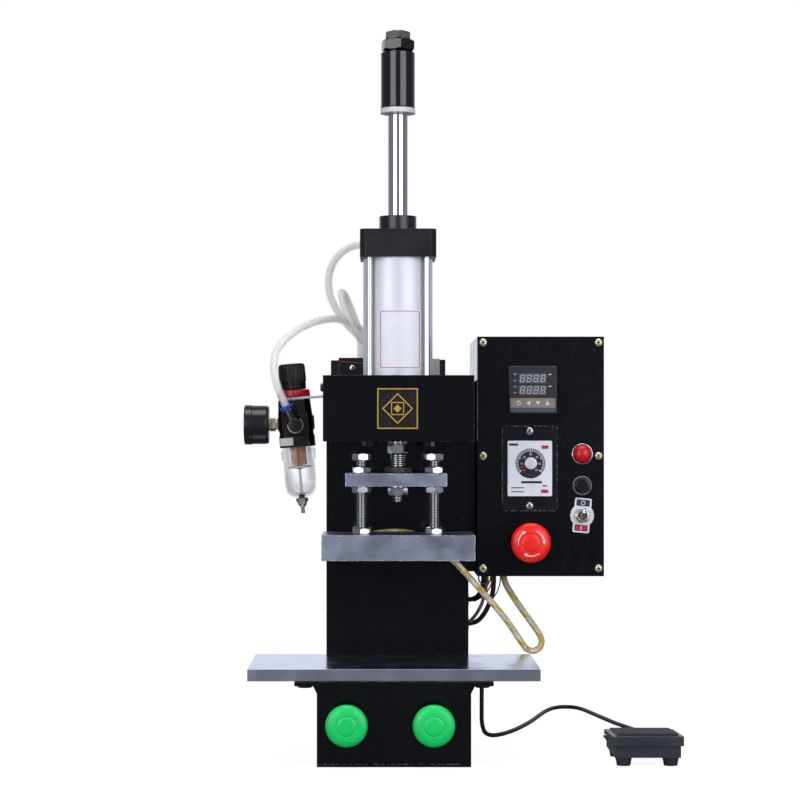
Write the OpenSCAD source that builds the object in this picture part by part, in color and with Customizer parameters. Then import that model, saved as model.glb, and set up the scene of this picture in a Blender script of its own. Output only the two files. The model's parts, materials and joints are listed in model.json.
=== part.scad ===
// Pneumatic hot foil stamper: C-frame press with an adjustable-stroke air cylinder,
// a levelled heating plate, a polished work table, a control box and a foot switch.
// Frame: X = 0, Y = 0 is the cylinder axis, Z = 0 is the bench, -Y is the front.

/* [Frame] */
// Width of the base box
base_w = 147; // [144:1:150]
// Depth of the base box
base_d = 242; // [240:1:250]
// Height of the top of the base flange above the bench
base_h = 81.3; // [81.3:0.1:82]
// Width of the flange under the work table
flange_w = 190; // [180:1:200]
// Width of the column and the head
column_w = 145; // [142:1:145]
// Depth of the column
column_d = 90; // [88:1:92]
// Underside of the head
head_z0 = 310; // [309:0.5:310]
// Top of the head
head_z1 = 373.5; // [373.5:0.5:376]

/* [Work table] */
// Width of the table plate
table_w = 280; // [260:1:290]
// Depth of the table plate
table_d = 150; // [145:1:150]
// Thickness of the table plate
table_t = 11.5; // [10:0.5:12]

/* [Cylinder] */
// Working stroke of the ram
stroke = 100; // [80:1:100]
// Side of the square end caps
cap_w = 75; // [75:1:76]
// Outside diameter of the barrel
barrel_d = 69; // [68:0.5:69]
// Bore of the barrel
bore_d = 63; // [62:0.5:63]
// Diameter of the piston rod
rod_d = 20; // [18:1:20]

/* [Ram] */
// Width of the heating plate
heat_w = 150; // [140:1:152]
// Depth of the heating plate
heat_d = 90; // [84:1:90]
// Thickness of the heating plate
heat_t = 25; // [20:1:25]
// Width of the crosshead plate
cross_w = 100; // [96:1:104]
// Half distance between the levelling bolts along X
bolt_x = 36; // [34:1:38]

/* [Control box] */
// Width of the box
box_w = 128.5; // [125:0.5:129]
// Height of the box
box_h = 243; // [240:1:250]
// Depth of the box
box_d = 185; // [160:1:190]

/* [Hidden] */
$fn = 48;

// Base
base_x = -4.5;
base_front = -98;
base_back = base_front + base_d;
base_left = base_x - base_w / 2;
base_right = base_x + base_w / 2;
bottom_t = 3;
wall = 3;
flange_t = 4.3;
palm_x = base_x - 3.7;
palm_dx = 41.1;
palm_z = 42.5;
palm_hole_d = 22.4;

// Column and head
column_front = 54;
column_back = column_front + column_d;
half_w = column_w / 2;
head_front = -87;
rear_screw_xz = [
    for (x = [-half_w + 2.2, half_w - 2.2])
        for (z = [base_h + 12, (base_h + head_z0) / 2, head_z0 - 12])
            [x, z]
];
column_cable_z = [120, 145];
mount_plate_z = 323.5;
rod_clear_d = 41;

// Work table
table_front = -94;
table_z = base_h + table_t;
table_bolt_dx = 86;
table_bolt_y = [-60, 28];

// Cylinder
lower_cap_z = [323.5, 351];
upper_cap_z = [491, 518.5];
upper_port_z = 510.5;
collar_d = 37;
collar_top = 533.6;
tie_off = 28.25;
tie_d = 6;
run_fit = 0.05;

// Ram
cross_z = [265.5, 278.5];
heat_top = 218.5;
heat_z = heat_top - heat_t;
bolt_y = 20;
m10_d = 10;
m10_af = 16.5;
m16_af = 24;
piston_h = 38;
piston_z = upper_cap_z[0] - piston_h - 1;
shoulder_z = 698.4;
rod_top = 719.3;
stop_z = collar_top + stroke + 2.4;
heat_front = -50;
heater_x = [-58, -16, 16, 58];
heater_z = heat_z + 10.5;

// Control box
box_x = 80.8;
box_z = 173;
box_y = 39;
panel_t = 2.5;
ctrl_c = [136.8, 362];
timer_c = [133.7, 282.4];
side_x = 187;
lamp_z = 297;
fuse_z = 265;
toggle_z = 234.7;
toggle_rest = -11;
dial_c = [134.3, 287.5];
estop_c = [133.6, 208];
box_cable_holes = [[111, 98], [100, 88], [89, 80]];
panel_screw_xz = [
    for (z = [box_z + 8, box_z + 122, box_z + box_h - 7])
        for (x = [box_x + 7, box_x + box_w - 6])
            [x, z]
];

// Filter-regulator: it hangs at a slight tilt, and these heights run along its own axis
reg_pos = [-102.5, 30, 328];
reg_tilt = -4.6;
reg_body_w = 37;
gauge_x0 = -52;
gauge_x1 = -27;
gauge_z = 0;
gauge_rest = -135;

// Solenoid valve
valve_y = 62;
valve_z0 = head_z1;
valve_z1 = 395;
valve_port_x = [-12, 8, 28];

// Foot pedal
pedal_x = 238;
pedal_w = 68;
pedal_y = [-95, -12];
pedal_pin_y = -26;
pedal_pin_z = 20.2;

// Routes of the hoses, leads and cords
hose_d = 8;
hose_supply_route = [
    [-111.6, 4, 345], [-114.5, 4.2, 351.5], [-119.6, 5.5, 363], [-123, 8, 376], [-124, 12.5, 389],
    [-121, 19.5, 402], [-112.5, 28, 413.5], [-101, 38, 423], [-88, 50, 430], [-74, 63, 434.5],
    [-60, 73, 435.5], [-47, 77, 431], [-34, 77.5, 423.5], [-20, 75.5, 415], [-8, 72, 408.5],
    [1.5, 67.5, 403.5], [8, 62, 398],
];
hose_upper_route = [
    [-22, 56, 510.5], [-32, 56.3, 511], [-44, 57, 509.5], [-55.5, 58, 504], [-65, 59, 493.5],
    [-70, 60, 479.5], [-69.8, 61, 463.5], [-65, 62.5, 449.5], [-57.5, 64, 437], [-48, 65, 426],
    [-38, 65, 416], [-27, 64, 408], [-18, 63, 402.5], [-12, 62, 398],
];
hose_lower_route = [
    [-22, 56, 337], [-28.5, 56.6, 337], [-34, 60, 337.5], [-37.8, 66.5, 339.5], [-39, 74.5, 343.5],
    [-39, 82.5, 350], [-39, 88.5, 359], [-38.7, 91.2, 370], [-38.3, 91.8, 382], [-37.6, 91, 396],
    [-37.8, 89.2, 411], [-40.5, 86.8, 426], [-45, 84.6, 439], [-49, 83.3, 449], [-52.5, 80, 457],
    [-55.5, 73.6, 462], [-57.2, 65.2, 462.2], [-56.7, 58.2, 457], [-54.7, 55.3, 449],
    [-51, 54.3, 439.5], [-45.5, 53.6, 428.5], [-38, 52.8, 417], [-28, 53, 407.5], [-17, 53.5, 403],
    [-5, 53.8, 402], [8, 54.5, 402], [20, 57.5, 401.5], [28, 62, 398],
];
lead_d = 6.5;
heater_lead_route = [
    [-34, 46.5, 211.5], [-26, 46.5, 215], [-15, 46.5, 217], [-4, 46.5, 217.7], [8, 46.5, 217],
    [20, 46.5, 214.4], [33, 46.5, 208], [46, 46.6, 198.8], [59, 47.3, 186.7], [71.7, 49, 173], [86, 54, 157],
    [100, 60.5, 141], [112.5, 67.5, 125.5], [121.5, 73.5, 112.5], [128.5, 78.5, 102],
    [134, 82, 95.3], [140.8, 85.8, 92.8], [147.3, 89.2, 95.5], [150, 92, 101.8], [148, 93.6, 108.8],
    [143.8, 94.4, 115.4], [138, 95, 123.5], [130, 95.8, 134.5], [121.5, 96.6, 147], [114.5, 97.4, 158.5],
    [111.5, 97.9, 166], [111, 98, 171.5],
];
cable_d = 5;
cable_routes = [
    [[100, 88, 171.5], [100, 88.4, 164], [99, 90, 153], [95.5, 92.5, 141], [90, 95, 130],
     [83, 97.5, 122.5], [74.5, 99, 120]],
    [[89, 80, 171.5], [89, 81.2, 165], [87.5, 86, 156.5], [84, 92.5, 149.5], [79.5, 97, 146],
     [74.5, 99, 145]],
];
cord_d = 4.5;
foot_cord_route = [
    [73, 96, 64], [76.4, 96, 64], [80.8, 96, 63], [84.5, 96.1, 60.4], [87, 96.4, 56.6],
    [88, 96.8, 52], [88, 97.1, 46], [88, 97.5, 37], [88, 98, 28], [88.1, 98.6, 19.5], [89.3, 99.8, 12],
    [91.8, 101.8, 6.3], [97, 105.5, 3.1], [104, 111, 2.3], [112, 121.5, 2.3], [119, 136, 2.3],
    [126.5, 154, 2.3], [134, 176, 2.3], [142.5, 203, 2.3], [150.5, 232, 2.3], [157.5, 260, 2.3],
    [164, 286, 2.3], [170.5, 310, 2.3], [177.5, 330, 2.3], [186, 344.5, 2.3], [196, 350, 2.3],
    [205.5, 345.5, 2.3], [212, 333, 2.3], [216.5, 316, 2.3], [221, 294, 2.3], [226.5, 266, 2.3],
    [232.5, 236, 2.3], [239, 205, 2.3], [246.5, 177, 2.3], [253.5, 150, 2.3], [257.5, 122, 2.3],
    [258.5, 94, 2.3], [256.5, 66, 2.6], [252.5, 42, 5], [248.6, 21, 9.6], [247, -2, 12.5],
];

// ---- Helpers ----
module block(lo, hi) {
    translate(lo) cube(hi - lo);
}

module cyl_z(x, y, z0, z1, d) {
    translate([x, y, z0]) cylinder(h = z1 - z0, d = d);
}

module cyl_y(x, z, y0, y1, d) {
    translate([x, y1, z]) rotate([90, 0, 0]) cylinder(h = y1 - y0, d = d);
}

module cyl_x(y, z, x0, x1, d) {
    translate([x0, y, z]) rotate([0, 90, 0]) cylinder(h = x1 - x0, d = d);
}

// Hexagon with its upper and lower corners turned off, base at z = 0
module hexagon(af, h, bore = 0) {
    corner = af / 2 / cos(30);
    difference() {
        intersection() {
            cylinder(h = h, r = corner, $fn = 6);
            rotate_extrude()
                polygon([[0, 0], [af / 2, 0], [corner, 1.1], [corner, h - 1.1], [af / 2, h], [0, h]]);
        }
        if (bore > 0)
            translate([0, 0, -1]) cylinder(h = h + 2, d = bore);
    }
}

// Square bar with chamfered edges along Z
module chamfered_square(w, h, c) {
    a = w / 2;
    b = a - c;
    linear_extrude(height = h)
        polygon([[a, -b], [a, b], [b, a], [-b, a], [-a, b], [-a, -b], [-b, -a], [b, -a]]);
}

// Plate in the XZ plane with rounded corners: centre c = [x, z], front face at y0
module rounded_panel(c, w, h, y0, y1, r) {
    translate([c[0], y1, c[1]])
        rotate([90, 0, 0])
            linear_extrude(height = y1 - y0)
                union() {
                    square([w - 2 * r, h], center = true);
                    square([w, h - 2 * r], center = true);
                    for (sx = [-1, 1])
                        for (sz = [-1, 1])
                            translate([sx * (w / 2 - r), sz * (h / 2 - r)]) circle(r = r);
                }
}

function unit(v) = v / norm(v);

// One point of a Catmull-Rom curve between b and c
function blend_point(a, b, c, d, t) =
    0.5 * (2 * b + (c - a) * t + (2 * a - 5 * b + 4 * c - d) * t * t
        + (3 * b - a - 3 * c + d) * t * t * t);

// The route with steps points in each of its stretches
function smooth(p, steps) = concat(
    [
        for (i = [0 : len(p) - 2])
            for (k = [0 : steps - 1])
                blend_point(p[max(i - 1, 0)], p[i], p[i + 1], p[min(i + 2, len(p) - 1)], k / steps)
    ],
    [p[len(p) - 1]]
);

// Round tube along a list of points; ref is never parallel to the route
module swept_tube(p, d, ref, sides = 8) {
    n = len(p);
    tangents = [for (i = [0 : n - 1]) unit(p[min(i + 1, n - 1)] - p[max(i - 1, 0)])];
    rings = [
        for (i = [0 : n - 1])
            let (u = unit(cross(tangents[i], ref)), v = cross(tangents[i], u))
                for (k = [0 : sides - 1])
                    p[i] + d / 2 * (cos(360 * k / sides) * u + sin(360 * k / sides) * v)
    ];
    walls = [
        for (i = [0 : n - 2])
            for (k = [0 : sides - 1])
                let (a = i * sides + k, b = i * sides + (k + 1) % sides)
                    each [[a, b + sides, a + sides], [a, b, b + sides]]
    ];
    start_cap = [for (k = [1 : sides - 2]) [0, k + 1, k]];
    end_cap = [for (k = [1 : sides - 2]) [(n - 1) * sides, (n - 1) * sides + k, (n - 1) * sides + k + 1]];
    polyhedron(points = rings, faces = concat(walls, start_cap, end_cap));
}

// Pan-head screw driven along +Y into a face at y
module pan_screw(x, z, y, d = 7, shank = 4, length = 8) {
    cyl_y(x, z, y - 2.4, y, d);
    cyl_y(x, z, y - 0.01, y + length, shank);
}

module regulator_place() {
    translate(reg_pos) rotate([0, reg_tilt, 0]) children();
}

// ---- Frame ----
module base_housing() {
    color("#17181a")
        difference() {
            union() {
                difference() {
                    block([base_left, base_front, bottom_t], [base_right, base_back, base_h - flange_t]);
                    block([base_left + wall, base_front + wall, bottom_t - 1],
                          [base_right - wall, base_back - wall, base_h - flange_t + 1]);
                }
                block([base_x - flange_w / 2, base_front, base_h - flange_t],
                      [base_x + flange_w / 2, base_back, base_h]);
                for (s = [-1, 1])
                    base_gusset(s);
            }
            for (s = [-1, 1])
                cyl_y(palm_x + s * palm_dx, palm_z, base_front - 1, base_front + wall + 1, palm_hole_d);
            for (s = [-1, 1])
                for (y = table_bolt_y)
                    cyl_z(base_x + s * table_bolt_dx, y, base_h - flange_t - 1, base_h + 1, 8.4);
            cyl_z(base_x, 99, base_h - flange_t - 1, base_h + 1, 30);
            cyl_x(96, 64, base_right - wall - 1, base_right + 1, 9);
        }
}

// Triangular stiffener between the front wall and the flange
module base_gusset(s) {
    x0 = s > 0 ? base_right : base_left;
    translate([x0, base_front + 3, base_h - flange_t])
        rotate([90, 0, 0])
            linear_extrude(height = 3)
                polygon([[0, 0.01], [s * 3.6, 0.01], [0, -7]]);
}

module base_bottom_plate() {
    color("#202124")
        block([base_left, base_front, 0], [base_right, base_back, bottom_t]);
}

module work_table() {
    color("#c9ccd2")
        difference() {
            block([base_x - table_w / 2, table_front, base_h],
                  [base_x + table_w / 2, table_front + table_d - 3, table_z]);
            for (s = [-1, 1])
                for (y = table_bolt_y)
                    cyl_z(base_x + s * table_bolt_dx, y, base_h - 1, base_h + 8, 8);
        }
}

module column() {
    color("#141517")
        difference() {
            block([-half_w, column_front, base_h], [half_w, column_back - 2, head_z0]);
            block([-half_w + 4, column_front + 4, base_h - 1], [half_w - 4, column_back, head_z0 + 1]);
            for (z = column_cable_z)
                cyl_x(99, z, half_w - 5, half_w + 1, 9);
            for (p = rear_screw_xz)
                cyl_y(p[0], p[1], column_back - 10, column_back + 1, 2.5);
        }
    color("#141517")
        block([half_w, 70, box_z + 3], [box_x, 86, head_z0]);
}

module column_rear_cover() {
    color("#1b1c1f")
        difference() {
            block([-half_w, column_back - 2, base_h], [half_w, column_back, head_z0]);
            for (p = rear_screw_xz)
                cyl_y(p[0], p[1], column_back - 3, column_back + 1, 2.5);
        }
}

module head_housing() {
    color("#141517")
        difference() {
            block([-half_w, head_front, head_z0], [half_w, column_back, head_z1]);
            block([-half_w + 4, head_front + 4, mount_plate_z], [half_w - 4, column_back - 4, head_z1 - 2]);
            block([-half_w + 4, 46, head_z0 + 3], [half_w - 4, column_back - 4, mount_plate_z + 1]);
            block([-cap_w / 2 - 2, -cap_w / 2 - 2, head_z1 - 4], [cap_w / 2 + 2, cap_w / 2 + 2, head_z1 + 1]);
            cyl_z(0, 0, head_z0 - 1, mount_plate_z + 1, rod_clear_d);
            for (sx = [-1, 1])
                for (sy = [-1, 1])
                    cyl_z(sx * tie_off, sy * tie_off, head_z0 - 1, mount_plate_z + 1, 8.4);
            cyl_z(0, 99, head_z0 - 1, head_z0 + 4, 30);
            cyl_z(-38.7, 91.6, head_z1 - 4, head_z1 + 1, 11);
        }
}

module head_badge() {
    color("#b8923a")
        block([-1 - 20, head_front - 0.8, 341.5 - 20], [-1 + 20, head_front, 341.5 + 20]);
}

// M8 hexagon bolts: four hold the table, four hold the cylinder
module frame_bolts() {
    color("#8d9094") {
        for (s = [-1, 1])
            for (y = table_bolt_y)
                m8_bolt(base_x + s * table_bolt_dx, y, base_h - flange_t, 12);
        for (sx = [-1, 1])
            for (sy = [-1, 1])
                m8_bolt(sx * tie_off, sy * tie_off, head_z0, 30);
    }
}

module m8_bolt(x, y, z, length) {
    translate([x, y, z - 5.3]) hexagon(13, 5.3);
    cyl_z(x, y, z - 0.01, z + length, 8);
}

module cover_screws() {
    color("#c8b98c") {
        for (p = panel_screw_xz)
            pan_screw(p[0], p[1], box_y);
        for (s = [-1, 1])
            pan_screw(timer_c[0], timer_c[1] + s * 38, box_y - 4);
        for (p = rear_screw_xz) {
            cyl_y(p[0], p[1], column_back - 8, column_back + 0.01, 2.5);
            cyl_y(p[0], p[1], column_back, column_back + 1.8, 4.4);
        }
    }
}

// ---- Cylinder ----
module cylinder_cap(z0, z1) {
    translate([0, 0, z0]) chamfered_square(cap_w, z1 - z0, 5);
}

module lower_cap() {
    color("#1a1b1e")
        difference() {
            union() {
                cylinder_cap(lower_cap_z[0], lower_cap_z[1]);
                cyl_z(0, 0, lower_cap_z[0] - 10, lower_cap_z[0] + 1, collar_d);
            }
            cyl_z(0, 0, lower_cap_z[0] - 11, lower_cap_z[1] + 1, 26);
            for (sx = [-1, 1])
                for (sy = [-1, 1])
                    cyl_z(sx * tie_off, sy * tie_off, lower_cap_z[0] - 1, lower_cap_z[1] + 1, 8.4);
            cyl_y(-14, 337, cap_w / 2 - 12, cap_w / 2 + 1, 13);
        }
}

module upper_cap() {
    color("#1a1b1e")
        difference() {
            union() {
                cylinder_cap(upper_cap_z[0], upper_cap_z[1]);
                cyl_z(0, 0, upper_cap_z[1] - 1, collar_top, collar_d);
            }
            cyl_z(0, 0, upper_cap_z[0] - 1, collar_top + 1, 26);
            for (sx = [-1, 1])
                for (sy = [-1, 1]) {
                    cyl_z(sx * tie_off, sy * tie_off, upper_cap_z[0] - 1, upper_cap_z[1] + 1, tie_d + 0.4);
                    cyl_z(sx * tie_off, sy * tie_off, upper_cap_z[1] - 5, upper_cap_z[1] + 1, 12);
                }
            cyl_y(-14, upper_port_z, cap_w / 2 - 12, cap_w / 2 + 1, 13);
        }
}

module barrel() {
    color("#d9dadd")
        difference() {
            cyl_z(0, 0, lower_cap_z[1], upper_cap_z[0], barrel_d);
            cyl_z(0, 0, lower_cap_z[1] - 1, upper_cap_z[0] + 1, bore_d);
        }
}

module tie_rods() {
    color("#e0e2e6")
        for (sx = [-1, 1])
            for (sy = [-1, 1]) {
                cyl_z(sx * tie_off, sy * tie_off, lower_cap_z[1] - 10, upper_cap_z[1] - 1, tie_d);
                translate([sx * tie_off, sy * tie_off, upper_cap_z[1] - 5]) hexagon(9, 4.5);
            }
}

module rod_bushes() {
    color("#a9793a")
        for (z = [[lower_cap_z[0] - 10, lower_cap_z[1]], [upper_cap_z[0], collar_top]])
            difference() {
                cyl_z(0, 0, z[0], z[1], 26);
                cyl_z(0, 0, z[0] - 1, z[1] + 1, rod_d + 2 * run_fit);
            }
}

// ---- Solenoid valve ----
module valve_body() {
    color("#b9bcc0")
        difference() {
            union() {
                block([-21, valve_y - 13, valve_z0], [42.8, valve_y + 13, valve_z1 - 1]);
                block([42.8, valve_y - 12, valve_z0], [48.8, valve_y + 12, valve_z1 - 2]);
            }
            cyl_x(valve_y, 384, -22, 42, 10);
        }
}

module valve_spool() {
    color("#d2d4d8")
        cyl_x(valve_y, 384, -20.5, 36, 10 - 2 * run_fit);
}

module valve_coil() {
    color("#1c1c20") {
        block([-60, valve_y - 11, valve_z0], [-21, valve_y + 11, valve_z1]);
        block([-68, valve_y - 9, valve_z0], [-60, valve_y + 9, valve_z1 - 2.5]);
    }
}

// ---- Air line ----
module air_fittings() {
    color("#2f6fb4") {
        // Rear ports of the two caps, each with its elbow
        for (z = [337, upper_port_z]) {
            cyl_y(-14, z, cap_w / 2 - 12, cap_w / 2 + 12, 12.8);
            cyl_y(-14, z, cap_w / 2 + 11, cap_w / 2 + 26, 14.5);
            cyl_x(56, z, -22, -14, 12);
        }
        // Push-in ports on the valve
        for (x = valve_port_x)
            cyl_z(x, valve_y, valve_z1 - 1, 398, 12);
        // Swivel elbow on the front port of the regulator
        cyl_y(reg_pos[0], 326, -3, reg_pos[1] - reg_body_w / 2, 14);
        translate([reg_pos[0], 4, 326]) rotate([0, -25.3, 0]) cylinder(h = 21, d = 12.5);
    }
}

module air_hoses() {
    color("#e8e8e6") {
        swept_tube(smooth(hose_supply_route, 2), hose_d, [0.3, 1, 0.1]);
        swept_tube(smooth(hose_upper_route, 2), hose_d, [0, 1, 0.1]);
        swept_tube(smooth(hose_lower_route, 2), hose_d, [0.6, 0.7, 0.4]);
    }
}

module regulator_bracket() {
    color("#c9ccd0") {
        difference() {
            union() {
                regulator_place() block([-15, -15, 24], [31, 15, 26]);
                block([-75, 11, 338], [-half_w, 49, 369]);
            }
            regulator_place() translate([0, 0, 20]) cylinder(h = 10, d = 20);
        }
    }
}

module regulator_body() {
    color("#101113")
        regulator_place()
            difference() {
                union() {
                    translate([0, 0, -24]) chamfered_square(reg_body_w, 48, 4);
                    cylinder(h = 33.5, d = 20);
                    cylinder(h = 50, d = 12);
                }
                translate([0, 0, -25]) cylinder(h = 8, d = 27);
                translate([0, reg_body_w / 2 - 12, -2]) rotate([-90, 0, 0]) cylinder(h = 13, d = 11.4);
            }
}

module regulator_lock_ring() {
    color("#c01c2c")
        regulator_place()
            translate([0, 0, 26])
                difference() {
                    cylinder(h = 7.5, d = 33);
                    translate([0, 0, -1]) cylinder(h = 10, d = 20);
                }
}

module regulator_knob() {
    color("#15161a")
        regulator_place()
            difference() {
                translate([0, 0, 34]) cylinder(h = 26, d = 27.5);
                translate([0, 0, 33]) cylinder(h = 17.4, d = 12 + 2 * run_fit);
                for (i = [0 : 17])
                    rotate([0, 0, 20 * i]) translate([14.6, 0, 33]) cylinder(h = 24, d = 3);
            }
}

module regulator_bowl() {
    color("#dfe6ea", 0.4)
        regulator_place()
            rotate_extrude()
                polygon([[3, -75], [9, -74], [14, -69], [16, -62], [16, -24], [13.4, -24],
                         [13.4, -17.2], [11.6, -17.2], [11.6, -60], [10, -67], [7, -70.5], [3, -71.5]]);
}

module filter_element() {
    color("#8a5a3c")
        regulator_place() {
            difference() {
                translate([0, 0, -43]) cylinder(h = 26, d = 15);
                translate([0, 0, -41]) cylinder(h = 31, d = 8);
            }
            translate([0, 0, -46]) cylinder(h = 3.2, d = 22);
            translate([0, 0, -66]) cylinder(h = 21, d = 2.2);
        }
}

module bowl_drain() {
    color("#c3c6ca")
        regulator_place() {
            translate([0, 0, -78]) cylinder(h = 8, d = 6 - 2 * run_fit);
            translate([0, 0, -84]) cylinder(h = 8.5, d = 9);
            translate([0, 0, -91]) cylinder(h = 8, d = 4.5);
        }
}

// The gauge hangs level, turned back by the tilt of the regulator at its side port
module gauge_place() {
    regulator_place()
        translate([-reg_body_w / 2, 0, gauge_z])
            rotate([0, -reg_tilt, 0])
                translate([reg_body_w / 2, 0, 0]) children();
}

module gauge_case() {
    color("#17181b")
        union() {
            gauge_place()
                difference() {
                    cyl_x(0, 0, gauge_x0, gauge_x1, 40);
                    difference() {
                        cyl_x(0, 0, gauge_x0 - 1, gauge_x0 + 6, 36);
                        cyl_x(0, 0, gauge_x0 + 2.5, gauge_x0 + 7, 2);
                    }
                }
            regulator_place()
                translate([0, 0, gauge_z]) cyl_x(0, 0, gauge_x1 - 4, -reg_body_w / 2, 10);
        }
}

module gauge_lens() {
    color("#eef3f5", 0.35)
        gauge_place() cyl_x(0, 0, gauge_x0, gauge_x0 + 1.5, 36);
}

module gauge_needle() {
    color("#b02020")
        gauge_place()
            difference() {
                union() {
                    cyl_x(0, 0, gauge_x0 + 3, gauge_x0 + 4, 5);
                    rotate([gauge_rest, 0, 0])
                        block([gauge_x0 + 3.2, -0.6, -5], [gauge_x0 + 3.8, 0.6, 14]);
                }
                cyl_x(0, 0, gauge_x0 + 2, gauge_x0 + 5, 2 + 2 * run_fit);
            }
}

// ---- Control box ----
module control_box() {
    color("#121316")
        difference() {
            union() {
                difference() {
                    block([box_x, box_y + panel_t, box_z], [box_x + box_w, box_y + box_d, box_z + box_h]);
                    block([box_x + 2, box_y, box_z + 2],
                          [box_x + box_w - 2, box_y + box_d - 2, box_z + box_h - 2]);
                }
                for (p = panel_screw_xz)
                    block([p[0] - 5, box_y + panel_t, p[1] - 5], [p[0] + 5, box_y + 18, p[1] + 5]);
            }
            for (p = panel_screw_xz)
                cyl_y(p[0], p[1], box_y, box_y + 14, 4);
            for (h = box_cable_holes)
                cyl_z(h[0], h[1], box_z - 1, box_z + 3, 9);
        }
}

module control_panel() {
    color("#121316")
        difference() {
            block([box_x, box_y, box_z], [box_x + box_w, box_y + panel_t, box_z + box_h]);
            panel_cut(ctrl_c, 45, 45);
            panel_cut(timer_c, 45.5, 57);
            cyl_y(side_x, lamp_z, box_y - 1, box_y + 4, 16);
            cyl_y(side_x, fuse_z, box_y - 1, box_y + 4, 12.5);
            cyl_y(side_x, toggle_z, box_y - 1, box_y + 4, 12);
            cyl_y(estop_c[0], estop_c[1], box_y - 1, box_y + 4, 22.4);
            for (p = panel_screw_xz)
                cyl_y(p[0], p[1], box_y - 1, box_y + 4, 4);
            for (s = [-1, 1])
                cyl_y(timer_c[0], timer_c[1] + s * 38, box_y - 1, box_y + 4, 4);
        }
}

module panel_cut(c, w, h) {
    block([c[0] - w / 2, box_y - 1, c[1] - h / 2], [c[0] + w / 2, box_y + 4, c[1] + h / 2]);
}

module temp_controller() {
    color("#3b3c42") {
        rounded_panel(ctrl_c, 48, 48, box_y - 8, box_y, 1.5);
        block([ctrl_c[0] - 22.3, box_y - 1, ctrl_c[1] - 22.3], [ctrl_c[0] + 22.3, box_y + 76, ctrl_c[1] + 22.3]);
    }
}

module timer_frame() {
    color("#1d1e21")
        difference() {
            rounded_panel(timer_c, 56.4, 86.6, box_y - 4, box_y, 2.5);
            block([timer_c[0] - 22.6, box_y - 5, timer_c[1] - 28.2],
                  [timer_c[0] + 22.6, box_y + 1, timer_c[1] + 28.2]);
            for (s = [-1, 1])
                cyl_y(timer_c[0], timer_c[1] + s * 38, box_y - 5, box_y + 1, 4);
        }
}

module timer_body() {
    color("#e9eaec")
        difference() {
            union() {
                rounded_panel(timer_c, 44.8, 56, box_y - 7, box_y, 1.5);
                block([timer_c[0] - 22.3, box_y - 1, timer_c[1] - 27.8],
                      [timer_c[0] + 22.3, box_y + 68, timer_c[1] + 27.8]);
            }
            cyl_y(dial_c[0], dial_c[1], box_y - 8, box_y + 4, 4);
        }
}

module timer_knob() {
    color("#c9ccd0") {
        cyl_y(dial_c[0], dial_c[1], box_y - 15, box_y - 7.3, 12.6);
        cyl_y(dial_c[0], dial_c[1], box_y - 7.5, box_y + 3, 4 - 2 * run_fit);
        translate([dial_c[0], box_y - 7.3, dial_c[1]])
            rotate([0, -115, 0]) block([-1, -1.2, 0], [1, 0, 11]);
    }
}

module pilot_lamp() {
    color("#c4161f") {
        translate([side_x, box_y, lamp_z])
            rotate([90, 0, 0])
                rotate_extrude()
                    polygon(concat([[0, 0], [11, 0], [11, 3.5], [9.4, 4.4]],
                                   [for (a = [10 : 10 : 90]) [9 * cos(a), 4.4 + 6.5 * sin(a)]]));
        cyl_y(side_x, lamp_z, box_y - 0.01, box_y + 30, 15.8);
    }
}

module fuse_holder() {
    color("#1a1b1d")
        difference() {
            union() {
                cyl_y(side_x, fuse_z, box_y - 2.4, box_y, 19.6);
                cyl_y(side_x, fuse_z, box_y - 0.01, box_y + 32, 12.4);
            }
            cyl_y(side_x, fuse_z, box_y - 3, box_y + 8, 9);
        }
}

module fuse_cap() {
    color("#202124")
        difference() {
            union() {
                cyl_y(side_x, fuse_z, box_y - 7.5, box_y - 2.7, 16.4);
                cyl_y(side_x, fuse_z, box_y - 2.8, box_y + 7, 9 - 2 * run_fit);
            }
            block([side_x - 5, box_y - 8, fuse_z - 0.8], [side_x + 5, box_y - 6.3, fuse_z + 0.8]);
        }
}

module toggle_switch() {
    color("#d8d9dc")
        difference() {
            union() {
                rounded_panel([side_x, toggle_z], 17, 35, box_y - 0.8, box_y, 2);
                cyl_y(side_x, toggle_z, box_y - 0.8, box_y, 24);
                translate([side_x, box_y - 0.8, toggle_z]) rotate([90, 0, 0]) hexagon(14, 2.4);
                cyl_y(side_x, toggle_z, box_y - 8, box_y + 3, 11.8);
                block([side_x - 8, box_y + panel_t, toggle_z - 14], [side_x + 8, box_y + 24, toggle_z + 14]);
            }
            translate([side_x, box_y - 2, toggle_z])
                rotate([90, 0, 0]) cylinder(h = 7, r1 = 3.6, r2 = 5);
            translate([side_x, box_y - 2, toggle_z]) sphere(d = 7.2);
        }
}

module toggle_lever() {
    color("#d5d7da")
        translate([side_x, box_y - 2, toggle_z])
            rotate([toggle_rest, 0, 0]) {
                sphere(d = 7);
                rotate([90, 0, 0]) cylinder(h = 20, d1 = 4, d2 = 5.6);
                translate([0, -20, 0]) sphere(d = 5.6);
            }
}

// ---- Push buttons ----
// Mushroom head in front of a face at y: centre c = [x, z], overall reach in front of the face
module mushroom(c, y, reach, d, stem_d, stem_back) {
    translate([c[0], y, c[1]])
        rotate([90, 0, 0])
            rotate_extrude()
                polygon([[0, -stem_back], [stem_d / 2, -stem_back], [stem_d / 2, reach - 13],
                         [d / 2 - 3, reach - 12], [d / 2, reach - 9], [d / 2, reach - 5],
                         [d / 2 - 2.2, reach - 2], [d / 2 - 5.5, reach - 0.5], [0, reach]]);
}

module button_base(c, y, panel, collar_h, bore, deep) {
    difference() {
        union() {
            cyl_y(c[0], c[1], y - collar_h, y, 29);
            cyl_y(c[0], c[1], y - 0.01, y + panel + 3, 22.2);
            block([c[0] - 15, y + panel + 2, c[1] - 15], [c[0] + 15, y + panel + 34, c[1] + 15]);
        }
        cyl_y(c[0], c[1], y - collar_h - 1, y + deep, bore);
    }
}

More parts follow.
